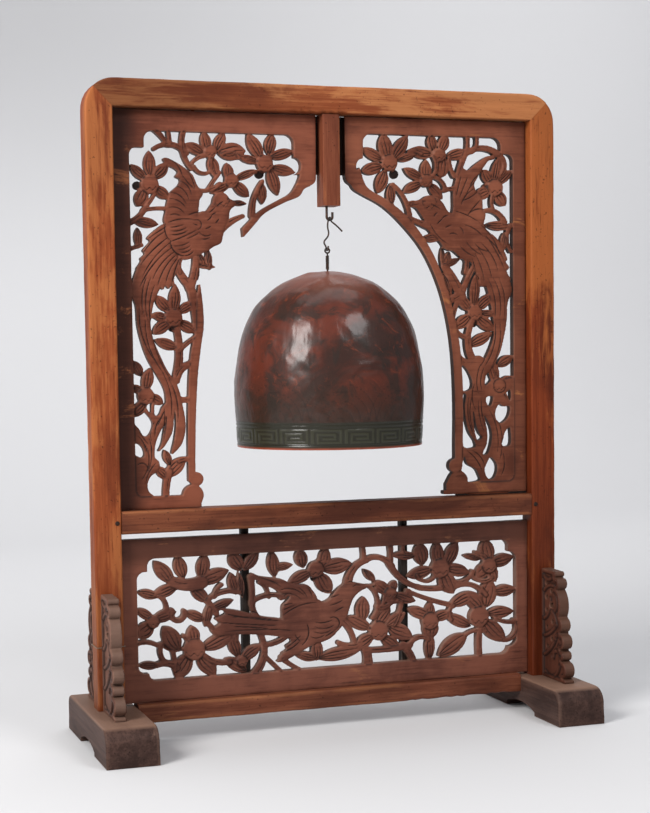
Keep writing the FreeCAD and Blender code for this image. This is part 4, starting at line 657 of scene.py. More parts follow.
    def rectangle(self, x0, z0, x1, z1, opening):
        """A straight-sided part of the border, cut back by the opening's rounded boxes."""
        area = self.window([(x0, z0), (x1, z1)], 3)
        px, pz = self.x[area], self.z[area]
        distance = rounded_box(px, pz, x0, z0, x1, z1, 0.0)
        for values in opening:
            distance = np.maximum(distance, -rounded_box(px, pz, *values))
        self.put(area, distance, np.zeros(distance.shape), tone=BORDER_TONE, blend=0.5)

    def border_disc(self, x, z, radius):
        """A round part of the border."""
        area = self.window([(x - radius, z - radius), (x + radius, z + radius)], 3)
        distance = np.hypot(self.x[area] - x, self.z[area] - z) - radius
        self.put(area, distance, np.zeros(distance.shape), tone=BORDER_TONE)

    def carve(self, edge_radius):
        """Round the rims, and find where shapes overlap."""
        inset = np.maximum(-self.distance, 0)
        rounded = edge_radius - np.sqrt(np.maximum(edge_radius ** 2 - (edge_radius - np.minimum(
            inset, edge_radius)) ** 2, 0))
        groove = 0.55 * np.exp(-(np.maximum(self.values["knife"], 0) / 0.60) ** 2)
        self.height = np.maximum(self.height, -8.0) - rounded - groove
        inner = ramp(-self.distance, 0.8, 2.4)
        # crease marks where one shape overlaps another; the board material paints shadow along it.
        self.values["crease"] = inner * np.exp(-np.maximum(-self.own - 0.2, 0) / 0.9)
        self.values["wear"] = np.exp(-inset / 1.6) * (self.values["tone"] >= 0)


CASES = {1: "0ad", 2: "1ba", 3: "01bd", 4: "2cb", 5: "0ab2cd", 6: "12ca", 7: "012cd", 8: "3dc", 9: "0ac3",
         10: "1bc3da", 11: "01bc3", 12: "23db", 13: "0ab23", 14: "123da", 15: "0123"}


def relief_mesh(relief, thickness, both):
    """Points (x, depth, z), faces and attribute values of a carved board."""
    d = relief.distance
    rows, columns = d.shape
    solid = d < 0
    ids = np.arange(rows * columns).reshape(rows, columns)
    corner = {"0": (0, 0), "1": (0, 1), "2": (1, 1), "3": (1, 0)}
    ends = {"a": "01", "b": "12", "c": "32", "d": "03"}
    case = sum(solid[dr:rows - 1 + dr, dc:columns - 1 + dc].astype(int) << int(key)
               for key, (dr, dc) in corner.items())
    total = rows * columns
    cross_offset = {"a": total, "c": total, "b": 2 * total, "d": 2 * total}
    tables = []
    rims = []
    for number, symbols in CASES.items():
        r, c = np.nonzero(case == number)
        if not len(r):
            continue
        table = []
        for symbol in symbols:
            if symbol in corner:
                dr, dc = corner[symbol]
                table.append(ids[r + dr, c + dc])
            else:
                dr, dc = corner[ends[symbol][0]]
                table.append(ids[r + dr, c + dc] + cross_offset[symbol])
        table = np.array(table).T
        tables.append(table)
        for index, symbol in enumerate(symbols):
            following = (index + 1) % len(symbols)
            if symbol in ends and symbols[following] in ends:
                rims.append(table[:, [index, following]])
    rims = np.vstack(rims)
    used = np.unique(np.concatenate([table.ravel() for table in tables]))
    compact = np.full(3 * total, -1)
    compact[used] = np.arange(len(used))
    kind = used // total
    first = used % total
    second = np.where(kind == 1, first + 1, np.where(kind == 2, first + columns, first))
    flat = d.ravel()
    share = flat[first] / np.where(kind == 0, 1.0, flat[first] - flat[second])
    share = np.where(kind == 0, 0.0, np.clip(share, 0.05, 0.95))

    def mix(array):
        array = array.ravel()
        return array[first] * (1 - share) + array[second] * share

    def nearest(array):
        array = array.ravel()
        pick = np.where((kind > 0) & (flat[first] >= 0), second, first)
        return array[pick]

    x, z, height = mix(relief.x), mix(relief.z), nearest(relief.height)
    height = np.where(kind > 0, height - 0.25, height)
    values = {key: nearest(array) for key, array in relief.values.items()}
    values["wall"] = np.zeros(len(used))
    front = np.stack([x, -height, z], 1)
    count = len(used)
    faces = [face for table in tables for face in compact[table].tolist()]
    rims = compact[rims]
    rim_points = np.unique(rims)
    local = np.full(count, -1)
    local[rim_points] = np.arange(len(rim_points))
    number = len(rim_points)
    back_depth = thickness - front[rim_points, 1] if both else np.full(number, thickness)
    depths = [front[rim_points, 1], front[rim_points, 1] + 0.9, back_depth]
    rings = [np.stack([front[rim_points, 0], depth, front[rim_points, 2]], 1) for depth in depths]
    points = [front] + rings
    wall_values = [0.35, 1.0, 1.0]
    walls = []
    a, b = local[rims[:, 0]], local[rims[:, 1]]
    for ring in range(2):
        upper, lower = count + ring * number, count + (ring + 1) * number
        walls += np.stack([a + upper, a + lower, b + lower, b + upper], 1).tolist()
    smooth = [True] * len(faces) + [True] * len(walls)
    all_values = {key: [array] + [array[rim_points]] * 3 for key, array in values.items()}
    all_values["wall"] = [values["wall"]] + [np.full(number, value) for value in wall_values]
    all_values["crease"][1:] = [np.zeros(number)] * 3
    all_values["knife"][1:] = [np.full(number, NO_CUT)] * 3
    offset = count + 3 * number
    if both:
        points.append(np.stack([x, thickness - front[:, 1], z], 1))
        back = [[v + offset for v in reversed(face)] for face in faces]
        for key, array in values.items():
            all_values[key].append(array)
    else:
        flat_points = rings[2]
        points.append(flat_points)
        back = [[int(v) + offset for v in face] for face in fill_loops(flat_points, np.stack([a, b], 1))]
        for key, array in values.items():
            plain = {"crease": 0.0, "wear": 0.0, "knife": NO_CUT}.get(key)
            all_values[key].append(array[rim_points] if plain is None else np.full(number, plain))
    smooth += [both] * len(back)
    joined = {key: np.concatenate(parts) for key, parts in all_values.items()}
    return np.vstack(points), faces + walls + back, joined, smooth


def fill_loops(points, edges):
    """Triangles that fill a flat shape with holes, facing away from its front.

    Every triangle across a rim line is on the other side of the shape's edge, starting from outside.
    """
    flat = [Vector(point) for point in points[:, [0, 2]].tolist()]
    lines = [(int(a), int(b)) for a, b in edges if a != b]
    _, made, triangles, source, origin, _ = delaunay_2d_cdt(flat, lines, [], 0, 1e-7)
    rims = {tuple(sorted(edge)) for edge, first in zip(made, origin) if first}
    beside = {}
    for number, face in enumerate(triangles):
        for index in range(3):
            beside.setdefault(tuple(sorted((face[index], face[index - 1]))), []).append(number)
    inside = {}
    waiting = []
    for edge, faces in beside.items():
        if len(faces) == 1 and faces[0] not in inside:
            inside[faces[0]] = edge in rims
            waiting.append(faces[0])
    while waiting:
        number = waiting.pop()
        face = triangles[number]
        for index in range(3):
            edge = tuple(sorted((face[index], face[index - 1])))
            for other in beside[edge]:
                if other not in inside:
                    inside[other] = inside[number] != (edge in rims)
                    waiting.append(other)
    return [[source[v][0] for v in reversed(face)] for number, face in enumerate(triangles) if inside[number]]


# ---------------------------------------------------------------- node materials

def put(tree, kind, inputs=None, **settings):
    """Add a shader node, set its options and fill or link its sockets."""
    node = tree.nodes.new(kind)
    for key, value in settings.items():
        setattr(node, key, value)
    for key, value in (inputs or {}).items():
        socket = node.inputs[key]
        if isinstance(value, bpy.types.NodeSocket):
            tree.links.new(value, socket)
        else:
            socket.default_value = value
    return node


# Near-black for painted shade in knife lines, along creases and on deep knobs, for the walls of the holes
# (stain with painted shade) and for dark pores.
SHADE_STAIN_AND_PORE_COLOUR = (0.010, 0.005, 0.004)


def attribute(tree, name):
    """A mesh attribute as a number."""
    return put(tree, "ShaderNodeAttribute", attribute_name=name).outputs["Fac"]


def maths(tree, operation, first, second=0.0, third=0.0):
    """One operation on up to three numbers or sockets."""
    return put(tree, "ShaderNodeMath", {0: first, 1: second, 2: third}, operation=operation).outputs[0]


def times(tree, first, second):
    """The product of two numbers or sockets."""
    return maths(tree, "MULTIPLY", first, second)


def step(tree, value, low, high, result_low=0.0, result_high=1.0):
    """A number mapped smoothly from one range to another."""
    inputs = {"Value": value, "From Min": low, "From Max": high, "To Min": result_low, "To Max": result_high}
    return put(tree, "ShaderNodeMapRange", inputs, interpolation_type="SMOOTHSTEP").outputs[0]


def blend(tree, share, first, second, mode="MIX"):
    """One colour over another."""
    node = put(tree, "ShaderNodeMix", data_type="RGBA", blend_type=mode)
    for index, value in ((0, share), (6, first), (7, second)):
        if isinstance(value, bpy.types.NodeSocket):
            tree.links.new(value, node.inputs[index])
        else:
            node.inputs[index].default_value = value if index == 0 else (*value, 1.0)
    return node.outputs[2]


def noise_of(tree, place, scale, detail=4.0, rough=0.55, warp=0.0, stretch=(1, 1, 1), offset=(0, 0, 0)):
    """Noise over the object's own space, stretched along an axis."""
    mapped = put(tree, "ShaderNodeMapping", {"Vector": place, "Scale": stretch, "Location": offset})
    inputs = {"Vector": mapped.outputs[0], "Scale": scale, "Detail": detail, "Roughness": rough,
              "Distortion": warp}
    return put(tree, "ShaderNodeTexNoise", inputs).outputs["Fac"]


def start_material(name):
    """An empty node material, its shader and the object's own coordinates."""
    material = bpy.data.materials.new(name)
    material.use_nodes = True
    tree = material.node_tree
    shader = tree.nodes["Principled BSDF"]
    place = put(tree, "ShaderNodeTexCoord").outputs["Object"]
    return material, tree, shader, place


def finish_material(tree, shader, colour, rough, height, depth, **constants):
    """Link colour, roughness and bump, and set the plain sockets."""
    tree.links.new(colour, shader.inputs["Base Color"])
    tree.links.new(rough, shader.inputs["Roughness"])
    bump = put(tree, "ShaderNodeBump", {"Strength": 1.0, "Distance": depth, "Height": height})
    tree.links.new(bump.outputs[0], shader.inputs["Normal"])
    for key, value in constants.items():
        shader.inputs[key.replace("_", " ")].default_value = value


def toward(tree, place, axis, start, end, result=1.0):
    """0 before start and result past end, along one axis in metres."""
    value = put(tree, "ShaderNodeSeparateXYZ", {"Vector": place}).outputs[axis]
    if start < end:
        return step(tree, value, start, end, 0.0, result)
    return step(tree, value, end, start, result, 0.0)


def wood(name, along, dark, mid, light, honey, honey_from, gloss=0.5, seed=0.0, edge_share=0.3, shade=None,
         rub=None, dust=None):
    """Old stained hardwood: fine fibres along one axis, dark and honey-coloured patches, rubbed edges."""
    material, tree, shader, place = start_material(name)
    shift = (seed, seed * 0.7, seed * 1.3)

    def grain(scale, squeeze, detail=4.0, rough=0.6, warp=0.0):
        stretch = [1.0, 1.0, 1.0]
        stretch["xyz".index(along)] = squeeze
        return noise_of(tree, place, scale, detail, rough, warp, stretch, shift)

    fibre = grain(520.0, 0.05, 5.0)
    line = grain(210.0, 0.03, 3.0, 0.5)
    patch = grain(17.0, 0.35, 5.0, 0.6, 0.5)
    blotch = grain(26.0, 0.30, 6.0, 0.66, 0.5)
    wear = attribute(tree, "wear")
    base = blend(tree, step(tree, maths(tree, "MULTIPLY_ADD", fibre, 0.5, times(tree, line, 0.5)),
                            0.38, 0.62), mid, light)
    base = blend(tree, step(tree, patch, 0.42, 0.64, 0.0, 0.8), base, dark)
    ragged = maths(tree, "MULTIPLY_ADD", fibre, 0.24, maths(tree, "MULTIPLY_ADD", line, 0.16,
                                                            times(tree, blotch, 0.72)))
    ragged = maths(tree, "MULTIPLY_ADD", wear, 0.035, ragged)
    if rub:
        ragged = maths(tree, "ADD", ragged, toward(tree, place, *rub))
    worn = step(tree, ragged, honey_from, honey_from + 0.13)
    colour = blend(tree, times(tree, worn, 0.62), base, honey)
    edge = times(tree, step(tree, wear, 0.6, 1.0), step(tree, blotch, 0.40, 0.60))
    colour = blend(tree, times(tree, edge, edge_share), colour, honey)
    specks = step(tree, noise_of(tree, place, 330.0, 2.0, 0.5, 0.0, (1, 1, 1), shift), 0.66, 0.72)
    dim = maths(tree, "MAXIMUM", step(tree, fibre, 0.27, 0.38, 0.45, 0.0), times(tree, specks, 0.6))
    if shade:
        dim = maths(tree, "MAXIMUM", dim, toward(tree, place, *shade))
    colour = blend(tree, dim, colour, tuple(0.3 * v for v in dark))
    if dust:
        dusty = times(tree, attribute(tree, "upward"), step(tree, patch, 0.30, 0.62, 0.65, 1.0))
        colour = blend(tree, dusty, colour, dust)
    rough = maths(tree, "MULTIPLY_ADD", patch, 0.25, gloss - 0.1)
    finish_material(tree, shader, colour, rough, maths(tree, "MULTIPLY_ADD", line, 0.5, fibre), 0.00030,
                    Specular_IOR_Level=0.14)
    return material


def carved_wood(name, along, base_dark, base_light, honey, dust, wall_shade_and_stain=0.35, shade=None):
    """Carved board: knife lines from the knife attribute darkened as painted shade, painted shadow along
    creases and on deep knobs, dark walls of stain and painted shade, rubbed high places.
    """
    material, tree, shader, place = start_material(name)
    stretch = [1.0, 1.0, 1.0]
    stretch["xyz".index(along)] = 0.07
    fibre = noise_of(tree, place, 340.0, 4.0, 0.6, 0.0, stretch)
    patch = noise_of(tree, place, 24.0, 4.0, 0.6, 0.4)
    broad = noise_of(tree, place, 9.0, 3.0, 0.55, 0.4, (1, 1, 1), (0.7, 0.3, 0.9))
    knife = maths(tree, "MULTIPLY_ADD", noise_of(tree, place, 240.0, 2.0), 0.45,
                  maths(tree, "SUBTRACT", attribute(tree, "knife"), 0.25))
    line = step(tree, knife, 0.20, 0.78, 1.0, 0.0)
    faint = step(tree, noise_of(tree, place, 75.0, 2.0, 0.5, 0.0, (1, 1, 1), (3.1, 0.4, 1.7)), 0.36, 0.56,
                 0.7, 1.0)
    line = times(tree, line, faint)
    wall = attribute(tree, "wall")
    tone = attribute(tree, "tone")
    mixed = maths(tree, "MULTIPLY_ADD", fibre, 0.22, maths(tree, "MULTIPLY_ADD", patch, 0.36,
                                                          maths(tree, "MULTIPLY_ADD", broad, 0.38,
                                                                times(tree, tone, 0.06))))
    colour = blend(tree, step(tree, mixed, 0.40, 0.60), base_dark, base_light)
    # The shade argument darkens the board towards one edge: on the left and lower boards this is painted
    # shadow of the post or rail beside it.
    if shade:
        colour = blend(tree, toward(tree, place, *shade), colour, tuple(0.2 * v for v in base_dark))
    colour = blend(tree, times(tree, wall, 0.5), colour, dust)
    dusty = step(tree, attribute(tree, "wear"), 0.25, 0.9)
    dusty = times(tree, dusty, step(tree, patch, 0.44, 0.62))
    colour = blend(tree, times(tree, dusty, 0.35), colour, dust)
    flat = step(tree, tone, 0.8, 1.0)
    rub_noise = noise_of(tree, place, 15.0, 6.0, 0.7, 0.8, (1, 1, 1.3), (0.21, 0.0, 0.43))
    rub_noise = maths(tree, "MULTIPLY_ADD", fibre, 0.25, rub_noise)
    rubbed = times(tree, flat, step(tree, rub_noise, 0.70, 0.82))
    colour = blend(tree, times(tree, rubbed, 0.6), colour, honey)
    pores = step(tree, fibre, 0.26, 0.38, 0.4, 0.0)
    # Painted shade in the knife lines, along the creases and on the deep knobs; stain with painted shade on
    # the walls; dark pores in the grain.
    dark = maths(tree, "MAXIMUM", times(tree, line, 0.94),
                 times(tree, attribute(tree, "crease"), 0.93))
    dark = maths(tree, "MAXIMUM", dark, times(tree, wall, wall_shade_and_stain))
    dark = maths(tree, "MAXIMUM", dark, step(tree, tone, -0.5, 0.0, 0.97, 0.0))
    dark = maths(tree, "MAXIMUM", dark, pores)
    colour = blend(tree, dark, colour, SHADE_STAIN_AND_PORE_COLOUR)
    height = maths(tree, "SUBTRACT", times(tree, fibre, 0.3), line)
    rough = maths(tree, "MULTIPLY_ADD", patch, 0.2, 0.48)
    finish_material(tree, shader, colour, rough, height, 0.0005, Specular_IOR_Level=0.18)
    return material


def steel(name, colour, rust, rough_base):
    """Old dark wire or nail with rust in patches."""
    material, tree, shader, place = start_material(name)
    patch = noise_of(tree, place, 260.0, 4.0, 0.6)
    shade = blend(tree, step(tree, patch, 0.42, 0.6), colour, rust)
    rough = maths(tree, "MULTIPLY_ADD", patch, 0.3, rough_base)
    finish_material(tree, shader, shade, rough, patch, 0.0002, Metallic=0.7)
    return material


def thread_material():
    """Twisted pale thread."""
    material, tree, shader, place = start_material("thread")
    twist = put(tree, "ShaderNodeTexWave", {"Vector": place, "Scale": 420.0, "Distortion": 0.6},
                wave_type="BANDS", bands_direction="DIAGONAL").outputs["Fac"]
    colour = blend(tree, twist, (0.13, 0.10, 0.075), (0.27, 0.22, 0.165))
    rough = maths(tree, "MULTIPLY_ADD", twist, 0.1, 0.8)
    finish_material(tree, shader, colour, rough, twist, 0.0001)
    return material


def bronze():
    """Patinated red-brown bronze, darker towards the rim with painted shade, with green in the band and a
    crown lightened by dust and painted top light.
    """
    material, tree, shader, place = start_material("bronze")
    band = attribute(tree, "band")
    key = attribute(tree, "key")
    rim = attribute(tree, "rim")
    inner = attribute(tree, "inner")
    ring = attribute(tree, "ring")
    up = put(tree, "ShaderNodeSeparateXYZ", {"Vector": place}).outputs["Z"]
    broad = noise_of(tree, place, 13.0, 4.0, 0.6, 0.8, (1, 1, 1.2), (0.3, 0.1, 0.0))
    mottle = noise_of(tree, place, 34.0, 5.0, 0.62, 0.8, (1, 1, 1), (1.3, 0.7, 0.2))
    streak = noise_of(tree, place, 48.0, 5.0, 0.7, 1.2, (1.0, 1.0, 1.0), (2.3, 0.2, 1.2))
    fine = noise_of(tree, place, 380.0, 3.0, 0.6)
    colour = blend(tree, step(tree, broad, 0.36, 0.62), (0.034, 0.014, 0.010), (0.100, 0.021, 0.011))
    colour = blend(tree, times(tree, step(tree, mottle, 0.48, 0.64), 0.75), colour,
                   (0.020, 0.014, 0.011))
    colour = blend(tree, times(tree, step(tree, streak, 0.54, 0.70), 0.65), colour,
                   (0.175, 0.035, 0.014))
    # Painted top light with dust: the crown is lighter.
    crown = maths(tree, "MULTIPLY_ADD", mottle, 0.03, up)
    colour = blend(tree, step(tree, crown, 0.485, 0.522, 0.0, 0.6), colour, (0.25, 0.085, 0.055))
    # Painted shade: darker from the middle of the bowl down to the rim.
    low = maths(tree, "MULTIPLY_ADD", streak, 0.030, up)
    colour = blend(tree, step(tree, low, 0.355, 0.425, 0.85, 0.0), colour, (0.022, 0.014, 0.009))
    colour = blend(tree, times(tree, step(tree, ring, 0.4, 1.0), 0.45), colour, (0.016, 0.008, 0.006))
    green = times(tree, band, step(tree, mottle, 0.2, 0.5, 0.70, 0.95))
    colour = blend(tree, green, colour, (0.017, 0.0165, 0.0095))
    colour = blend(tree, times(tree, times(tree, band, key), 0.45), colour,
                   (0.045, 0.045, 0.026))
    rubbed = times(tree, rim, step(tree, mottle, 0.35, 0.60, 0.55, 0.9))
    colour = blend(tree, rubbed, colour, (0.33, 0.065, 0.028))
    colour = blend(tree, times(tree, inner, 0.8), colour, (0.030, 0.018, 0.014))
    rough = maths(tree, "MULTIPLY_ADD", mottle, 0.30, maths(tree, "MULTIPLY_ADD", band, 0.12, 0.32))
    height = maths(tree, "MULTIPLY_ADD", fine, 0.10, maths(tree, "MULTIPLY_ADD", mottle, 0.35,
                                                           times(tree, streak, 0.30)))
    finish_material(tree, shader, colour, rough, height, 0.0013, Metallic=0.0, Specular_IOR_Level=0.10,
                    Coat_Weight=0.50, Coat_Roughness=0.22)
    return material


post_wood = wood("post_wood", "z", (0.120, 0.024, 0.008), (0.200, 0.042, 0.012), (0.275, 0.066, 0.020),
                 (0.40, 0.135, 0.042), 0.53, shade=("Z", 0.30, 0.06, 0.42))
right_post_wood = wood("right_post_wood", "z", (0.062, 0.011, 0.004), (0.130, 0.022, 0.006),
                       (0.190, 0.036, 0.010), (0.39, 0.115, 0.030), 0.58, seed=3.0, edge_share=0.12,
                       shade=("Z", 0.42, 0.12, 0.45), rub=("Z", 0.34, 0.66, 0.18))
top_wood = wood("top_wood", "x", (0.110, 0.022, 0.008), (0.195, 0.046, 0.015), (0.280, 0.080, 0.027),
                (0.46, 0.185, 0.068), 0.56, seed=1.0, shade=("X", 0.02, -0.20, 0.55),
                rub=("X", -0.10, 0.22, 0.11))
low_wood = wood("low_wood", "x", (0.055, 0.015, 0.008), (0.115, 0.032, 0.016), (0.180, 0.058, 0.030),
                (0.33, 0.13, 0.05), 0.67, seed=8.0)
rail_wood = wood("rail_wood", "x", (0.052, 0.014, 0.008), (0.110, 0.030, 0.014), (0.170, 0.052, 0.024),
                 (0.35, 0.13, 0.05), 0.67, seed=5.0)
foot_wood = wood("foot_wood", "y", (0.022, 0.011, 0.009), (0.045, 0.023, 0.018), (0.075, 0.040, 0.031),
                 (0.17, 0.10, 0.075), 0.66, gloss=0.55, seed=2.0, edge_share=0.3, dust=(0.215, 0.125, 0.088))
block_wood = wood("block_wood", "z", (0.075, 0.018, 0.009), (0.140, 0.036, 0.017), (0.195, 0.058, 0.028),
                  (0.38, 0.13, 0.05), 0.62, seed=4.0)
batten_wood = wood("batten_wood", "z", (0.010, 0.008, 0.007), (0.022, 0.016, 0.013), (0.050, 0.037, 0.031),
                   (0.18, 0.15, 0.13), 0.62, gloss=0.6, seed=6.0, edge_share=0.2)
# The left board is darker at its left edge as painted shadow of the left post, and the lower board at its top
# edge as painted shadow of the middle rail; the right board is darker towards its right edge.
left_board_wood = carved_wood("left_board_wood", "x", (0.095, 0.024, 0.012), (0.210, 0.062, 0.033),
                              (0.36, 0.12, 0.045), (0.24, 0.125, 0.085),
                              shade=("X", -0.200, -0.228, 0.85), wall_shade_and_stain=0.5)
right_board_wood = carved_wood("right_board_wood", "x", (0.105, 0.028, 0.014), (0.215, 0.066, 0.034),
                               (0.40, 0.15, 0.05), (0.24, 0.125, 0.085), shade=("X", 0.200, 0.232, 0.35),
                               wall_shade_and_stain=0.8)
lower_board_wood = carved_wood("lower_board_wood", "x", (0.080, 0.025, 0.016), (0.175, 0.060, 0.037),
                               (0.28, 0.11, 0.05), (0.25, 0.145, 0.105), shade=("Z", 0.184, 0.204, 0.6),
                               wall_shade_and_stain=0.2)
left_spandrel_wood = carved_wood("left_spandrel_wood", "z", (0.075, 0.030, 0.020), (0.165, 0.078, 0.054),
                                 (0.22, 0.12, 0.07), (0.25, 0.15, 0.11))
right_spandrel_wood = carved_wood("right_spandrel_wood", "z", (0.040, 0.012, 0.007), (0.090, 0.030, 0.018),
                                  (0.22, 0.10, 0.06), (0.17, 0.085, 0.055))
dark_steel = steel("dark_steel", (0.045, 0.038, 0.034), (0.07, 0.036, 0.024), 0.35)
nail_steel = steel("nail_steel", (0.018, 0.014, 0.012), (0.05, 0.022, 0.014), 0.5)
thread = thread_material()
bell_bronze = bronze()


# ---------------------------------------------------------------- beams

def path(*points, spacing=8.0):
    """Points along straight runs, closely spaced."""
    runs = []
    for first, last in zip(points[:-1], points[1:]):
        first, last = np.array(first, float), np.array(last, float)
        count = max(int(round(np.linalg.norm(last - first) / spacing)), 1)
        runs.append(first + (last - first) * (np.arange(count) / count)[:, None])
    runs.append(np.array(points[-1:], float))
    return np.vstack(runs)


def resample(line, count):
    """The same line with evenly spaced points."""
    line = np.asarray(line, float)
    steps = np.concatenate([[0], np.cumsum(np.linalg.norm(np.diff(line, axis=0), axis=1))])
    where = np.linspace(0, steps[-1], count)
    return np.stack([np.interp(where, steps, line[:, axis]) for axis in range(line.shape[1])], 1)


def section_points(width, depth, radius):
    """A rounded rectangle at every station: positions across and deep, outward normals, and wear."""
    quarter = np.linspace(0, math.pi / 2, 5)
    corners = [(False, False), (True, False), (True, True), (False, True)]
    centres = [np.stack([np.where(far, width - radius, radius), np.where(deep, depth - radius, radius)], 1)
               for far, deep in corners]
    outline, normals, wear = [], [], []
    for number, centre in enumerate(centres):
        for angle in math.pi * (1 + number / 2) + quarter:
            normal = np.array([math.cos(angle), math.sin(angle)])
            outline.append(centre + radius[:, None] * normal)
            normals.append(normal)
            wear.append(1.0)
        first = centre + radius[:, None] * normal
        last = centres[(number + 1) % 4] + radius[:, None] * normal
        near = np.minimum(4.5 / np.maximum(np.linalg.norm(last - first, axis=1), 0.01), 0.4)[:, None]
        for share, worn in ((near, 0.15), (0.5, 0.0), (1 - near, 0.15)):
            outline.append(first + (last - first) * share)
            normals.append(normal)
            wear.append(worn)
    return np.stack(outline, 1), np.array(normals), np.array(wear)


def beam(name, rail_a, rail_b, low, high, radius, material, replaced, uneven=0.25,
         seed=1.0, dent=None):
    """A beam between two lines in the frame's plane, from low to high across it, with softly worn edges."""
    gap = rail_b - rail_a
    width = np.linalg.norm(gap, axis=1)
    across = gap / width[:, None]
    count = len(rail_a)
    stations = np.column_stack([rail_a, np.zeros(count)])
    local = radius * (1 + 0.3 * wobble(stations, 9.0, seed))
    outline, normals, worn = section_points(width, high - low, local)
    size = outline.shape[1]
    points = np.empty((count, size, 3))
    points[:, :, 0] = rail_a[:, None, 0] + across[:, None, 0] * outline[:, :, 0]
    points[:, :, 2] = rail_a[:, None, 1] + across[:, None, 1] * outline[:, :, 0]
    points[:, :, 1] = low + outline[:, :, 1]
    outward = np.stack([across[:, None, 0] * normals[None, :, 0],
                        np.broadcast_to(normals[:, 1], (count, size)),
                        across[:, None, 1] * normals[None, :, 0]], -1)
    points = points.reshape(-1, 3)
    push = uneven * (wobble(points, 16.0, seed + 2.0) - 1.0)
    points = points + outward.reshape(-1, 3) * push[:, None]
    wear = np.tile(worn, count)
    if dent:
        points, wear = dent(points, wear)
    index = np.arange(count * size).reshape(count, size)
    following = np.roll(index, -1, axis=1)
    faces = np.stack([index[:-1], following[:-1], following[1:], index[1:]], -1).reshape(-1, 4).tolist()
    faces += [list(range(count * size, count * size + size)),
              list(range(count * size + size, count * size + 2 * size))]
    smooth = [True] * (len(faces) - 2) + [False] * 2
    points = np.vstack([points, points[index[0]], points[index[-1]]])
    wear = np.concatenate([wear, np.full(2 * size, 0.2)])
    piece = make_object(name, points, faces, material, STAND, replaced, {"wear": wear}, smooth)
    face_out(piece)
    return piece


def face_out(piece):
    """Join points that coincide, turn every face outwards and mark the sharp edges."""
    shape = bmesh.new()
    shape.from_mesh(piece.data)
    bmesh.ops.remove_doubles(shape, verts=shape.verts, dist=1e-7)
    bmesh.ops.recalc_face_normals(shape, faces=shape.faces)
    shape.to_mesh(piece.data)
    shape.free()
    mark_sharp(piece.data, 40.0)


def mark_sharp(mesh, degrees):
    """Shade smooth, apart from edges that turn more than an angle."""
    mesh.polygons.foreach_set("use_smooth", [True] * len(mesh.polygons))
    mesh.set_sharp_from_angle(angle=math.radians(degrees))


CORNER = 32.0
INNER = 240.0
HALF = 270.0
FRAME_TOP = 707.0
RAIL_BOTTOM = 677.0
POST_FRONT = -11.5
POST_BACK = 15.5
MID_RAIL_BOTTOM = 227.5
MID_RAIL_TOP = 252.5
LOW_RAIL_BOTTOM = 22.0
LOW_RAIL_TOP = 43.0
LOW_RAIL_HALF = 226.0
LOW_RAIL_FRONT = -10.0
LOW_RAIL_BACK = 14.0
BLOCK_LEFT = -8.0
BLOCK_RIGHT = 12.0
BLOCK_BOTTOM = 578.0
BATTEN_HALF = 4.25
STRIP_FRONT = 11.2
STRIP_BACK = 13.4
FOOT_TOP = 40.0
FOOT_X = 254.0
FOOT_HALF = 28.0
ARCH_TOP = 11.0
BOARD_FRONT = 1.0
BOARD_THICK = 10.0
HAIRLINE = 0.12
LEFT_BOX = ((-239.6, 252.7), (-13.0, 676.0))
RIGHT_BOX = ((21.0, 254.7), (239.6, 676.0))
LOWER_BOX = ((-239.6, 43.2), (239.6, 220.5))


def corner_arc(first, last):
    """Part of the left top corner's arc, between two angles in degrees."""
    angle = np.radians(np.linspace(first, last, 8))
    return np.stack([-HALF + CORNER + CORNER * np.cos(angle), FRAME_TOP - CORNER + CORNER * np.sin(angle)], 1)


def make_posts():
    """The two uprights, mitred into the top rail."""
    for side, name, material in ((-1, "left_post", post_wood), (1, "right_post", right_post_wood)):
        outer = np.vstack([path((-HALF, FOOT_TOP), (-HALF, FRAME_TOP - CORNER))[:-1], corner_arc(180, 135)])
        inner = path((-INNER, FOOT_TOP), (-INNER, RAIL_BOTTOM - HAIRLINE))
        outer[-1, 1] -= HAIRLINE
        outer = resample(outer, 100) * [-side, 1]
        inner = resample(inner, 100) * [-side, 1]
        beam(name + "_timber", outer, inner, POST_FRONT, POST_BACK, 2.5, material, [name], seed=2.5 + side)


def straight(x0, x1, z):
    """A level line."""
    return resample([(x0, z), (x1, z)], int(abs(x1 - x0) / 4) + 2)


def upright(x, z0, z1):
    """A standing line."""
    return resample([(x, z0), (x, z1)], int(abs(z1 - z0) / 7) + 2)


def split_rail(points, wear):
    """The ragged split along the top rail's lower front edge beside the block."""
    x, y, z = points.T
    along = ramp(x, -52.0, -34.0) * (1 - ramp(x, 14.0, 24.0))
    edge = np.exp(-((z - RAIL_BOTTOM) / 3.0) ** 2) * np.exp(-((y - POST_FRONT) / 5.0) ** 2)
    jagged = 0.55 + 0.45 * np.sin(x * 0.55 + 1.2 * np.sin(x * 0.21))
    points = points + np.stack([0 * x, 1.6 * along * edge * jagged, 1.3 * along * edge * jagged], 1)
    return points, wear * (1 - 0.9 * along)


def worn_rail(points, wear):
    """The splintered lower front edge of the bottom rail, towards its right end."""
    x, y, z = points.T
    along = ramp(x, 60.0, 110.0)
    edge = np.exp(-((z - LOW_RAIL_BOTTOM) / 3.5) ** 2) * np.exp(-((y - LOW_RAIL_FRONT) / 5.0) ** 2)
    jagged = 0.5 + 0.5 * np.sin(x * 0.31 + 1.5 * np.sin(x * 0.13))
    points = points + np.stack([0 * x, 1.0 * along * edge * jagged, 0.9 * along * edge * jagged], 1)
    return points, wear * (1 - 0.8 * along)


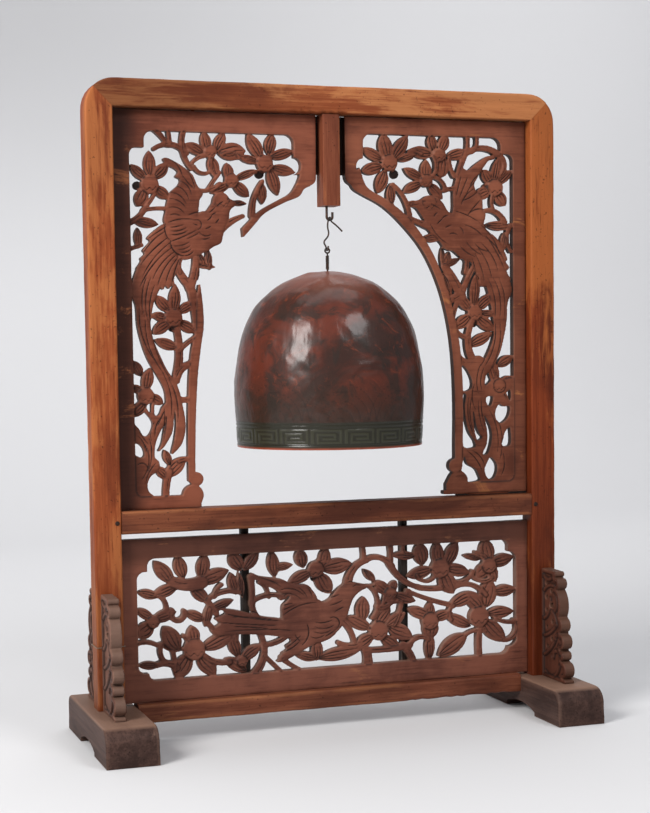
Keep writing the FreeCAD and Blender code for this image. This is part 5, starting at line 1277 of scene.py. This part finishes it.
def make_rails():
    """Top, middle and bottom rails."""
    left = corner_arc(135, 90)
    top = np.vstack([left, path(left[-1], left[-1] * [-1, 1])[1:-1], (left * [-1, 1])[::-1]])
    upper = resample(top, 200)
    lower = resample([(-INNER + HAIRLINE, RAIL_BOTTOM), (INNER - HAIRLINE, RAIL_BOTTOM)], 200)
    beam("top_rail_timber", upper, lower, POST_FRONT, POST_BACK, 2.5, top_wood, ["top_rail"], seed=5.0,
         dent=split_rail)
    beam("mid_rail_timber", straight(-INNER, INNER, MID_RAIL_TOP), straight(-INNER, INNER, MID_RAIL_BOTTOM),
         POST_FRONT, POST_BACK, 2.5, rail_wood, ["mid_rail"], seed=6.0)
    beam("bottom_rail_timber", straight(-LOW_RAIL_HALF, LOW_RAIL_HALF, LOW_RAIL_TOP),
         straight(-LOW_RAIL_HALF, LOW_RAIL_HALF, LOW_RAIL_BOTTOM), LOW_RAIL_FRONT, LOW_RAIL_BACK, 2.5,
         low_wood, ["bottom_rail"], seed=7.0, dent=worn_rail)


def make_sticks():
    """Hanging block, battens, shim and the dark strips behind the boards that paint shade into the gaps."""
    beam("hanging_block_timber", upright(BLOCK_LEFT, RAIL_BOTTOM, BLOCK_BOTTOM),
         upright(BLOCK_RIGHT, RAIL_BOTTOM, BLOCK_BOTTOM), -8.0, POST_BACK, 1.0, block_wood,
         ["hanging_block"], 0.15, 8.0)
    for name, x, seed in (("left_batten", -98.0, 9.0), ("right_batten", 90.0, 10.0)):
        beam(name + "_stick", upright(x - BATTEN_HALF, MID_RAIL_BOTTOM, LOW_RAIL_TOP + 0.5),
             upright(x + BATTEN_HALF, MID_RAIL_BOTTOM, LOW_RAIL_TOP + 0.5), 11.0, 21.0, 0.7,
             batten_wood, [name], 0.1, seed)
    # dark strips behind the boards, painted shade for the gaps beside the block and under the top rail: no
    # CAD part stands for them, and they run into the block's back
    beam("block_gap_shade_strip", upright(-17.0, 676.0, 613.0), upright(25.0, 676.0, 613.0), STRIP_FRONT, STRIP_BACK,
         0.5, batten_wood, [], 0.1, 12.0)
    beam("rail_gap_shade_strip", straight(-238.0, 238.0, 676.8), straight(-238.0, 238.0, 669.0), STRIP_FRONT,
         STRIP_BACK, 0.5, batten_wood, [], 0.1, 13.0)
    beam("panel_shim_strip", straight(153.0, 239.0, MID_RAIL_TOP + 2.0),
         straight(153.0, 239.0, MID_RAIL_TOP), 2.0, 10.0, 0.4,
         batten_wood, ["panel_shim"], 0.03, 11.0)


# ---------------------------------------------------------------- feet

def foot_line():
    """A foot's outline from the side: y and z, anticlockwise from the front bottom corner seen from +X."""
    front, back, top = -107.5, 99.5, FOOT_TOP
    front_radius, back_radius = 18.0, 12.0
    low, high = -44.0, 30.0
    arc = arc_line((high, 4.0), (-7.0, ARCH_TOP), (low, 4.0), 12)
    angle = np.linspace(0, math.pi / 2, 9)
    back_arc = np.stack([back - back_radius + back_radius * np.cos(angle),
                         top - back_radius + back_radius * np.sin(angle)], 1)
    front_arc = np.stack([front + front_radius - front_radius * np.sin(angle),
                          top - front_radius + front_radius * np.cos(angle)], 1)
    return [path((front, 0), (low, 0))[:-1], path((low, 0), (low, 4.0))[:-1], arc[::-1][:-1],
            path((high, 4.0), (high, 0))[:-1], path((high, 0), (back, 0))[:-1],
            path((back, 0), (back, top - back_radius))[:-1], back_arc[:-1],
            path((back - back_radius, top), (front + front_radius, top))[:-1], front_arc[:-1],
            path((front, top - front_radius), (front, 0))[:-1]]


def offset_loop(loop, inset):
    """A closed line moved inwards; loop is anticlockwise."""
    before = loop - np.roll(loop, 1, axis=0)
    after = np.roll(loop, -1, axis=0) - loop
    normals = []
    for edge in (before, after):
        edge = edge / np.linalg.norm(edge, axis=1)[:, None]
        normals.append(np.stack([-edge[:, 1], edge[:, 0]], 1))
    middle = normals[0] + normals[1]
    middle /= np.maximum(np.linalg.norm(middle, axis=1)[:, None], 1e-6)
    scale = 1 / np.maximum((middle * normals[0]).sum(1), 0.5)
    return loop + middle * (inset * scale)[:, None]


def slab(name, loop, low, high, radius, node, seed):
    """A flat-sided foot: a closed outline in y and z, low to high along x, with worn rims."""
    rows = 7
    uneven = 0.2
    count = len(loop)
    quarter = np.linspace(0, math.pi / 2, 5)
    rings = []
    wear = []

    def ring(inset, depth, worn):
        plane = offset_loop(loop, inset)
        rings.append(np.column_stack([plane, depth * np.ones(count)]))
        wear.append(np.full(count, worn))

    ring(radius + 5.0, low, 0.0)
    for angle in quarter:
        ring(radius * (1 - np.sin(angle)), low + radius * (1 - np.cos(angle)), 1.0)
    middle = np.linspace(0, 1, rows + 2)[1:-1]
    for share in middle:
        depth = low + 2.5 + (high - low - 5.0) * share
        near = min(depth - low, high - depth)
        ring(np.zeros(count), depth, max(0.0, 1 - near / 7.0) * 0.5)
    for angle in quarter[::-1]:
        ring(radius * (1 - np.sin(angle)), high - radius * (1 - np.cos(angle)), 1.0)
    ring(radius + 5.0, high, 0.0)
    points = np.vstack(rings)
    push = uneven * wobble(points, 14.0, seed) - uneven
    inward = offset_loop(loop, np.ones(count)) - loop
    inward = np.tile(inward, (len(rings), 1))
    inner_ring = np.zeros(len(points), bool)
    inner_ring[:count] = True
    inner_ring[-count:] = True
    points[:, :2] -= inward * (push * ~inner_ring)[:, None]
    index = np.arange(len(points)).reshape(len(rings), count)
    following = np.roll(index, -1, axis=1)
    faces = np.stack([index[:-1], index[1:], following[1:], following[:-1]], -1).reshape(-1, 4).tolist()
    for row in (0, len(rings) - 1):
        flat = np.column_stack([points[index[row]][:, 0], np.zeros(count), points[index[row]][:, 1]])
        edges = [(number, (number + 1) % count) for number in range(count)]
        faces += [[int(index[row][v]) for v in face] for face in fill_loops(flat, edges)]
    piece = make_object(name, points[:, [2, 0, 1]], faces, foot_wood, STAND, [node],
                        {"wear": np.concatenate(wear)})
    face_out(piece)
    return piece


def make_feet():
    """Block feet with rounded ends and a shallow arch."""
    loop = np.vstack(foot_line())
    above_arch = loop[:, 1] > ARCH_TOP + 0.5
    radius = np.where(above_arch, 2.0, 0.4)
    for side, name in ((-1, "left_foot"), (1, "right_foot")):
        x = side * FOOT_X
        piece = slab(name + "_timber", loop, x - FOOT_HALF, x + FOOT_HALF, radius, name, 12.0 + side)
        height = np.array([vertex.co.z for vertex in piece.data.vertices]) / MM
        upward = piece.data.attributes.new("upward", "FLOAT", "POINT")
        upward.data.foreach_set("value", ramp(height, FOOT_TOP - 2.6, FOOT_TOP - 0.7).astype(np.float32))


# ---------------------------------------------------------------- carved boards

def carve_board(leaves, branches, discs, body, tail, wings, cuts, dark_discs, bounds, ribbons, borders,
                border_discs, opening, trunk, step_size):
    """Work out one board's surface from its tables."""
    relief = Relief(*bounds, step_size)
    if trunk:
        relief.shape(trunk[0], -0.7, 0.8, steps=5, spread=4.0, holes=trunk[1:])
    for values in branches:
        relief.branch(*values)
    for values in leaves:
        relief.leaf(*values)
    if tail:
        relief.shape(tail, -0.5, 0.8, spread=4.0)
    for outline in wings:
        relief.shape(outline, -0.25, 0.9, steps=6, spread=5.0)
    relief.shape(body, 0.0, 1.4)
    for values in discs:
        relief.disc(*values, low=values in dark_discs)
    for outer, inner in ribbons:
        relief.ribbon(outer, inner)
    for values in borders:
        relief.rectangle(*values, opening)
    for values in border_discs:
        relief.border_disc(*values)
    relief.fan(cuts)
    relief.carve(1.1)
    return relief


def board_piece(name, relief, node, material):
    """Make one carved board."""
    points, faces, values, smooth = relief_mesh(relief, BOARD_THICK, False)
    points = points + [0.0, BOARD_FRONT, 0.0]
    return make_object(name, points, faces, material, STAND, [node], values, smooth)


def make_boards():
    """The three pierced boards."""
    step_size = 1.0
    left = carve_board(left_leaves, left_branches, left_discs, left_body, left_tail, left_wings, left_cuts,
                       left_dark_discs, LEFT_BOX,
                       [(left_arch_outer, left_arch_inner), (left_strip_outer, left_strip_inner)],
                       left_border, left_border_discs, left_opening, left_trunk, step_size)
    board_piece("left_carving", left, "left_carved_panel", left_board_wood)
    right = carve_board(right_leaves, right_branches, right_discs, right_body, right_tail, right_wings,
                        right_cuts, right_dark_discs, RIGHT_BOX,
                        [(right_arch_outer, right_arch_inner)], right_border, right_border_discs,
                        right_opening, right_trunk, step_size)
    board_piece("right_carving", right, "right_carved_panel", right_board_wood)
    lower = carve_board(lower_leaves, lower_branches, lower_discs, lower_body, None, lower_wings, lower_cuts,
                        lower_dark_discs, LOWER_BOX, [], lower_border,
                        [], lower_opening, None, step_size)
    board_piece("lower_carving", lower, "lower_carved_panel", lower_board_wood)


# ---------------------------------------------------------------- spandrels

def arc_reach(px, pz, points):
    """Distance to an arc through three points."""
    line = arc_line(*points, 10)
    best = np.full(px.shape, 1e9)
    for start, end in zip(line[:-1], line[1:]):
        _, gx, gz = from_segment(px, pz, start, end)
        best = np.minimum(best, np.hypot(gx, gz))
    return best


def make_spandrels():
    """Scrolled, pierced brackets in front of and behind both posts."""
    step_size = 0.7
    edge = [arc_line(*lobe, 10) for lobe in spandrel_lobes]
    outline = np.vstack([[(0.0, SPANDREL_TOP), (0.0, FOOT_TOP), (SPANDREL_BASE, FOOT_TOP),
                          (SPANDREL_BASE, FOOT_TOP + SPANDREL_PLINTH)]] + edge)
    relief = Relief((0, FOOT_TOP), (62, SPANDREL_TOP), step_size)
    distance = polygon_distance(relief.x, relief.z, outline)
    field = ramp(-distance, 3.4, 5.0)
    level = -2.2 * field
    own = np.full(distance.shape, 9.0)
    for points in spandrel_scrolls:
        reach = arc_reach(relief.x, relief.z, points)
        raised = 1 - ramp(reach, 1.3, 2.6)
        level = np.maximum(level, -2.2 + 1.8 * raised)
        own = np.minimum(own, np.abs(reach - 2.6))
    own = np.minimum(own, np.abs(-distance - 4.6))
    for x, z, radius in spandrel_holes:
        reach = np.hypot(relief.x - x, relief.z - z)
        distance = np.maximum(distance, radius - reach)
    relief.distance = distance
    relief.own = -own
    relief.height = level
    relief.values["tone"][:] = BIRD_TONE
    relief.carve(1.6)
    points, faces, values, smooth = relief_mesh(relief, SPANDREL_THICK, True)
    for word, material in (("left", left_spandrel_wood), ("right", right_spandrel_wood)):
        for end, place in ((-1, "front"), (1, "back")):
            face_y = POST_FRONT if end < 0 else POST_BACK
            moved = np.stack([SPANDREL_X[word] - SPANDREL_THICK / 2 + points[:, 1],
                              face_y + end * points[:, 0], points[:, 2]], 1)
            turned = faces if end < 0 else [face[::-1] for face in faces]
            make_object(place + "_" + word + "_bracket", moved, turned, material, STAND,
                        [place + "_" + word + "_spandrel"], values, smooth)


# ---------------------------------------------------------------- bell

BELL_X = -1.0
BELL_Y = 2.0
BELL_WALL = 2.6
BAND_TOP = 345.0
KEY_LOW = 322.0
KEY_HIGH = 337.0
GROOVE_HEIGHTS = (342.0, 338.5, 320.0)
WAVE_FANS = 9
HAMMER_BLOWS = 420
CREASE_TURN = 285.0
BELL_PROFILE = [(0.0, 507.0), (24.0, 505.2), (50.0, 495.5), (74.0, 477.5), (91.0, 452.0), (101.0, 419.0),
                (105.6, 378.0), (104.6, 345.0), (102.4, 315.5)]


def clamped_spline(points, first, last, count):
    """A smooth line through the points with given end directions."""
    points = np.array(points, float)
    chord = np.linalg.norm(np.diff(points, axis=0), axis=1)
    knots = np.concatenate([[0], np.cumsum(chord)])
    number = len(points)
    system = np.eye(number)
    right = np.zeros((number, 2))
    right[0], right[-1] = first, last
    for index in range(1, number - 1):
        before, after = chord[index - 1], chord[index]
        system[index, index - 1:index + 2] = [after, 2 * (before + after), before]
        right[index] = 3 * (after / before * (points[index] - points[index - 1])
                            + before / after * (points[index + 1] - points[index]))
    slopes = np.linalg.solve(system, right)
    where = np.linspace(0, knots[-1], count)
    span = np.clip(np.searchsorted(knots, where, "right") - 1, 0, number - 2)
    width = chord[span]
    t = ((where - knots[span]) / width)[:, None]
    width = width[:, None]
    return ((2 * t ** 3 - 3 * t ** 2 + 1) * points[span] + (t ** 3 - 2 * t ** 2 + t) * width * slopes[span]
            + (-2 * t ** 3 + 3 * t ** 2) * points[span + 1] + (t ** 3 - t ** 2) * width * slopes[span + 1])


KEY_CELLS = ["11111111111",
             "10000000001",
             "10111111101",
             "10100000101",
             "10101111101",
             "10100000001",
             "10111111111"]


def key_pattern(angle, z, low, high):
    """1 on the raised lines of a plain square-spiral band between two heights."""
    rows = len(KEY_CELLS)
    columns = len(KEY_CELLS[0]) + 1
    repeats = 18
    column = np.floor((angle / (2 * math.pi) * repeats % 1.0) * columns).astype(int)
    row = np.clip(np.floor((high - z) / (high - low) * rows).astype(int), 0, rows - 1)
    grid = np.array([[float(cell) for cell in line] + [0.0] for line in KEY_CELLS])
    inside = (z > low) & (z < high)
    return grid[row, column] * inside


def hammer_marks(places, profile):
    """Shallow dents, and one low bump in four, spread evenly round the bell by golden-angle turns."""
    total = np.zeros(len(places))
    steps = np.concatenate([[0], np.cumsum(np.linalg.norm(np.diff(profile, axis=0), axis=1))])
    for number in range(HAMMER_BLOWS):
        share = (number + 0.5) / HAMMER_BLOWS
        spread = (number * 0.7548) % 1.0
        where = steps[-1] * (1 - share ** 0.62)
        reach = np.interp(where, steps, profile[:, 0])
        turn = number * 2.39996 + 0.5 * math.sin(number * 1.7)
        centre = [reach * math.cos(turn), reach * math.sin(turn), np.interp(where, steps, profile[:, 1])]
        radius = 4.5 + 6.5 * spread
        depth = 0.30 + 0.65 * ((number * 0.5698) % 1.0)
        depth *= -1 if number % 4 else 0.7
        total += depth * np.exp(-((places - centre) ** 2).sum(1) / radius ** 2)
    return total


def make_bell():
    """The bronze bowl with hammer marks, grooves and its patterned rim band."""
    around = 720
    rows = 130
    outer = clamped_spline(BELL_PROFILE, (1, 0), (-0.05, -1), 400)
    height = outer[:, 1]
    steps = np.concatenate([[0], np.cumsum(np.linalg.norm(np.diff(outer, axis=0), axis=1))])
    # more rows where the band is
    weight = 1 + 2.2 * ((height > 315) & (height < 346))
    progress = np.concatenate([[0], np.cumsum(np.diff(steps) * weight[1:])])
    where = np.linspace(0, progress[-1], rows)
    outer = np.stack([np.interp(where, progress, outer[:, axis]) for axis in (0, 1)], 1)
    outer = outer[outer[:, 0] > 2.0]
    outer = np.vstack([[(1.5, outer[0, 1])], outer])
    tangent = np.gradient(outer, axis=0)
    tangent /= np.linalg.norm(tangent, axis=1)[:, None]
    normal = np.stack([-tangent[:, 1], tangent[:, 0]], 1)
    normal *= np.sign(normal[:, :1].sum() + 1e-9)
    angle = np.arange(around) / around * 2 * math.pi
    r, a = np.meshgrid(outer[:, 0], angle, indexing="ij")
    z = np.repeat(outer[:, 1][:, None], around, 1)
    flat = np.stack([r * np.cos(a), r * np.sin(a), z], -1).reshape(-1, 3)
    fade = ramp(r, 4.0, 30.0) * ramp(z, 322.0, 348.0)
    wrinkles = 0.6 * wobble(flat, 14.0, 7.0) + 0.22 * wobble(flat, 5.5, 9.0)
    shape = (hammer_marks(flat, outer) + wrinkles - 0.8).reshape(z.shape) * fade
    # a long dented fold low on the front right
    crease_z = 398 + 5.0 * np.sin(a * 5 + 0.8) + 3.0 * np.sin(a * 13 + 2.0) + 1.5 * np.sin(a * 31)
    crease = np.exp(-((z - crease_z) / 2.6) ** 2) - 0.7 * np.exp(-((z - crease_z - 6.0) / 4.0) ** 2)
    turn = np.mod(a - math.radians(CREASE_TURN) + math.pi, 2 * math.pi) - math.pi
    shape -= 1.2 * crease * np.exp(-(turn / 0.62) ** 2) * fade
    # no dent goes deeper than the wall allows
    deepest = 0.6 * BELL_WALL
    shape = np.where(shape < 0, -deepest * np.tanh(-shape / deepest), shape)
    ring = np.zeros(z.shape)
    for number in range(WAVE_FANS):
        centre = number * 2 * math.pi / WAVE_FANS + 0.3
        reach = np.hypot((np.mod(a - centre + math.pi, 2 * math.pi) - math.pi) * 105.0, z - BAND_TOP)
        wave = np.abs(((reach / 9.0) % 1.0) - 0.5) * 9.0
        ring = np.maximum(ring, (1 - ramp(wave, 0.4, 1.2)) * ((reach < 45) & (z > 346)))
    grooves = np.zeros(z.shape)
    for line_z in GROOVE_HEIGHTS:
        grooves = np.maximum(grooves, np.exp(-((z - line_z) / 0.75) ** 2))
    shape -= 0.5 * grooves + 0.12 * ring
    key = key_pattern(a, z, KEY_LOW, KEY_HIGH)
    shape += 0.35 * key - 0.35 * ((z > KEY_LOW - 1) & (z < KEY_HIGH + 1))
    offset_r = r + shape * normal[:, 0][:, None]
    offset_z = z + shape * normal[:, 1][:, None]
    points = np.stack([BELL_X + offset_r * np.cos(a), BELL_Y + offset_r * np.sin(a), offset_z], -1)
    points = points.reshape(-1, 3)
    index = np.arange(points.shape[0]).reshape(z.shape)
    following = np.roll(index, -1, axis=1)
    faces = np.stack([index[:-1], index[1:], following[1:], following[:-1]], -1).reshape(-1, 4).tolist()
    band = ramp(z, 316.5, 318.5) * (1 - ramp(z, BAND_TOP - 1.5, BAND_TOP))
    rim = 1 - ramp(z, 316.0, 318.5)
    values = {"band": band.ravel(), "key": key.ravel(), "rim": rim.ravel(), "ring": ring.ravel(),
              "inner": np.zeros(points.shape[0])}
    inner_line = outer - normal * BELL_WALL
    inner_line[0] = (1.5, inner_line[0, 1])
    inner_line[-1] = (outer[-1, 0] - BELL_WALL, outer[-1, 1])
    if (len(inner_line) - 1) % 3 == 0:
        inner_line = inner_line[::3]
    else:
        inner_line = np.vstack([inner_line[::3], inner_line[-1:]])
    inner_line[:, 0] = np.maximum(inner_line[:, 0], 1.5)
    r2, a2 = np.meshgrid(inner_line[:, 0], angle, indexing="ij")
    z2 = np.repeat(inner_line[:, 1][:, None], around, 1)
    inner_points = np.stack([BELL_X + r2 * np.cos(a2), BELL_Y + r2 * np.sin(a2), z2], -1).reshape(-1, 3)
    inner_index = np.arange(inner_points.shape[0]).reshape(z2.shape) + len(points)
    inner_next = np.roll(inner_index, -1, axis=1)
    inner_faces = np.stack([inner_index[:-1], inner_next[:-1], inner_next[1:], inner_index[1:]], -1)
    faces += inner_faces.reshape(-1, 4).tolist()
    total = np.vstack([points, inner_points])
    for key_name, value in (("band", 0.0), ("key", 0.0), ("rim", 0.0), ("ring", 0.0), ("inner", 1.0)):
        values[key_name] = np.concatenate([values[key_name], np.full(len(inner_points), value)])
    # underside of the rim and wall of the crown hole, with sharp edges
    for row, rim_value in ((-1, 1.0), (0, 0.0)):
        outer_row, inner_row = index[row], inner_index[row]
        start = len(total)
        total = np.vstack([total, total[outer_row], total[inner_row]])
        a_ring = np.arange(around) + start
        b_ring = a_ring + around
        faces += np.stack([a_ring, b_ring, np.roll(b_ring, -1), np.roll(a_ring, -1)], -1).tolist()
        for key_name in values:
            value = rim_value if key_name == "rim" else 0.0
            values[key_name] = np.concatenate([values[key_name], np.full(2 * around, value)])
    piece = make_object("bell_bowl", total, faces, bell_bronze, "bell_shell", ["bell"], values)
    face_out(piece)
    return piece


# ---------------------------------------------------------------- small metal parts

def make_binding():
    """Fine wire wound round the stem, as a helix."""
    turns = 14
    low, high = 508.4, 524.4
    radius, wire = 1.5, 0.5
    steps = turns * 20
    t = np.linspace(0, 1, steps)
    angle = t * turns * 2 * math.pi
    loose = 1 + 0.12 * wobble(np.stack([t * 60, t * 0, t * 0], 1), 7.0, 2.0)
    line = np.stack([BELL_X + radius * loose * np.cos(angle), BELL_Y + radius * loose * np.sin(angle),
                     low + wire + (high - low - 2 * wire) * t], 1)
    tube("stem_coil", line, wire, 8, dark_steel, "stem", ["stem_binding"])


def tube(name, line, radius, sides, material, body, replaces):
    """A round wire along a line."""
    line = np.asarray(line, float)
    tangent = np.gradient(line, axis=0)
    tangent /= np.linalg.norm(tangent, axis=1)[:, None]
    up = np.cross(tangent, [0.0, 0.0, 1.0])
    up /= np.linalg.norm(up, axis=1)[:, None]
    other = np.cross(tangent, up)
    angle = np.arange(sides) / sides * 2 * math.pi
    points = (line[:, None, :] + radius * (np.cos(angle)[None, :, None] * up[:, None, :]
                                           + np.sin(angle)[None, :, None] * other[:, None, :])).reshape(-1, 3)
    index = np.arange(len(points)).reshape(len(line), sides)
    following = np.roll(index, -1, axis=1)
    faces = np.stack([index[:-1], following[:-1], following[1:], index[1:]], -1).reshape(-1, 4).tolist()
    faces += [index[0].tolist()[::-1], index[-1].tolist()]
    piece = make_object(name, points, faces, material, body, replaces)
    face_out(piece)
    return piece


def dome(centre, axis, radius, rise, sides=20, rows=5):
    """Points and faces of a low domed head on a short collar, facing along axis."""
    axis = np.array(axis, float)
    helper = np.array([1.0, 0, 0]) if abs(axis[0]) < 0.5 else np.array([0, 0, 1.0])
    first = np.cross(axis, helper)
    first /= np.linalg.norm(first)
    second = np.cross(axis, first)
    rings = [(radius, -0.4)]
    for row in range(rows):
        angle = row / rows * math.pi / 2
        rings.append((radius * math.cos(angle), rise * math.sin(angle)))
    turn = np.arange(sides) / sides * 2 * math.pi
    spokes = np.cos(turn)[:, None] * first + np.sin(turn)[:, None] * second
    points = [np.array(centre) + axis * up + reach * spokes for reach, up in rings]
    points = np.vstack(points + [[np.array(centre) + axis * rise]])
    faces = []
    for row in range(len(rings) - 1):
        for side in range(sides):
            following = (side + 1) % sides
            faces.append([row * sides + side, row * sides + following, (row + 1) * sides + following,
                          (row + 1) * sides + side])
    last = (len(rings) - 1) * sides
    tip = len(points) - 1
    faces += [[last + side, last + (side + 1) % sides, tip] for side in range(sides)]
    faces.append(list(range(sides))[::-1])
    return points, faces


def make_heads():
    """Nail heads in the posts and the screw's head in the top rail."""
    for side, word in ((-1, "left"), (1, "right")):
        points, faces = dome((side * 245.0, POST_FRONT - 0.2, 240.0), (0, -1, 0), 2.4, 0.7)
        replaced = ["rail_nails"] if side < 0 else []
        piece = make_object(word + "_nail_head", points, faces, nail_steel, STAND, replaced)
        face_out(piece)
    points, faces = dome((2.0, 3.75, FRAME_TOP - 0.1), (0, 0, 1), 4.0, 0.8)
    face_out(make_object("screw_head", points, faces, nail_steel, STAND, ["block_screw"]))


CARRIED = {"screw_hook": dark_steel, "hanger_wire": dark_steel, "stem_wire": dark_steel,
           "crown_washer": dark_steel, "stem_knot": dark_steel, "mitre_dowels": post_wood,
           "panel_dowels": post_wood, "spandrel_pins": foot_wood, "batten_nails": nail_steel,
           "tie_thread": thread}


def paint_nodes():
    """Give the CAD nodes that stay their materials."""
    for name, material in CARRIED.items():
        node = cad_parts[name]
        node.data.materials.clear()
        node.data.materials.append(material)


# ---------------------------------------------------------------- stage

def stage_material(name, floor, middle, upper_left, upper_right):
    """Plain pale paper with painted shading: its tone drifts slowly from the floor to the top of the
    backdrop, darker at the front of the floor and at the upper left.
    """
    material, tree, shader, place = start_material(name)
    parts = put(tree, "ShaderNodeSeparateXYZ", {"Vector": place}).outputs
    patch = noise_of(tree, place, 2.0, 2.0)
    far = step(tree, parts["Y"], 0.2, 2.2)
    high = step(tree, parts["Z"], 0.5, 1.45)
    across = step(tree, parts["X"], 0.1, 2.2)
    colour = blend(tree, far, floor, middle)
    colour = blend(tree, high, colour, blend(tree, across, upper_left, upper_right))
    colour = blend(tree, step(tree, patch, 0.3, 0.7, 0.0, 0.02), colour, (0.6, 0.6, 0.62))
    shader.inputs["Roughness"].default_value = 0.9
    shader.inputs["Specular IOR Level"].default_value = 0.1
    tree.links.new(colour, shader.inputs["Base Color"])
    return material


def make_stage():
    """A pale floor that curves up into a backdrop."""
    paper = stage_material("paper", (0.635, 0.635, 0.645), (0.79, 0.79, 0.80), (0.58, 0.58, 0.59),
                           (0.82, 0.82, 0.83))
    half, front, back, height, bend = 6.0, -5.0, 3.2, 5.0, 1.2
    section = [(front, 0.0), (0.0, 0.0), (back - bend, 0.0)]
    for number in range(1, 13):
        angle = number / 12 * math.pi / 2
        section.append((back - bend + bend * math.sin(angle), bend - bend * math.cos(angle)))
    section.append((back, height))
    points = [(side * half, y, z - 0.0002) for y, z in section for side in (-1, 1)]
    faces = [[2 * n, 2 * n + 1, 2 * n + 3, 2 * n + 2] for n in range(len(section) - 1)]
    mesh = bpy.data.meshes.new("backdrop")
    mesh.from_pydata(points, [], faces)
    mesh.polygons.foreach_set("use_smooth", [True] * len(faces))
    mesh.materials.append(paper)
    piece = bpy.data.objects.new("backdrop", mesh)
    bpy.context.scene.collection.objects.link(piece)


def area_light(name, place, target, size, power, colour=(1, 1, 1)):
    """A soft rectangular light aimed at a point."""
    light = bpy.data.lights.new(name, "AREA")
    light.shape = "RECTANGLE"
    light.size, light.size_y = size
    light.energy = power
    light.color = colour
    lamp = bpy.data.objects.new(name, light)
    lamp.location = place
    direction = Vector(target) - Vector(place)
    lamp.rotation_euler = direction.to_track_quat("-Z", "Y").to_euler()
    bpy.context.scene.collection.objects.link(lamp)
    return lamp


def make_lights():
    """Soft studio light, mostly from the upper left."""
    centre = (0.0, 0.0, 0.38)
    area_light("key", (-2.2, -1.35, 1.75), centre, (1.0, 1.3), 92.0, (1.0, 0.985, 0.96))
    area_light("fill", (0.9, -2.0, 2.3), centre, (1.0, 1.0), 30.0, (0.98, 0.99, 1.0))
    area_light("top", (0.0, 0.5, 2.6), centre, (2.2, 1.6), 22.0)
    area_light("wash", (1.3, 1.3, 2.4), (1.1, 3.2, 0.7), (2.0, 1.0), 16.0)
    world = bpy.data.worlds.new("studio")
    world.use_nodes = True
    world.node_tree.nodes["Background"].inputs["Color"].default_value = (0.93, 0.94, 1.0, 1.0)
    world.node_tree.nodes["Background"].inputs["Strength"].default_value = 0.32
    bpy.context.scene.world = world
    bpy.context.scene.view_settings.view_transform = "Standard"
    bpy.context.scene.view_settings.look = "None"


CAMERA_PLACE = (-0.6171, -1.7702, 0.4219)
CAMERA_TURN = (18.995, -4.310, -0.751)
CAMERA_LENS = 74.91
CAMERA_SHIFT = 0.0858


def make_camera():
    """Camera to the left of the middle, a little above half height."""
    yaw, pitch, roll = (math.radians(v) for v in CAMERA_TURN)
    forward = Vector((math.sin(yaw) * math.cos(pitch), math.cos(yaw) * math.cos(pitch), math.sin(pitch)))
    right = Vector((math.cos(yaw), -math.sin(yaw), 0.0))
    up = right.cross(forward)
    turned_right = right * math.cos(roll) + up * math.sin(roll)
    turned_up = up * math.cos(roll) - right * math.sin(roll)
    lens = bpy.data.cameras.new("camera")
    lens.sensor_fit = "AUTO"
    lens.sensor_width = 36.0
    lens.lens = CAMERA_LENS
    lens.shift_y = CAMERA_SHIFT
    camera = bpy.data.objects.new("camera", lens)
    matrix = Matrix((turned_right, turned_up, -forward)).transposed().to_4x4()
    matrix.translation = CAMERA_PLACE
    camera.matrix_world = matrix
    bpy.context.scene.collection.objects.link(camera)
    bpy.context.scene.camera = camera


make_camera()
make_lights()
make_stage()
make_posts()
make_rails()
make_sticks()
make_feet()
make_boards()
make_spandrels()
make_bell()
make_binding()
make_heads()
paint_nodes()
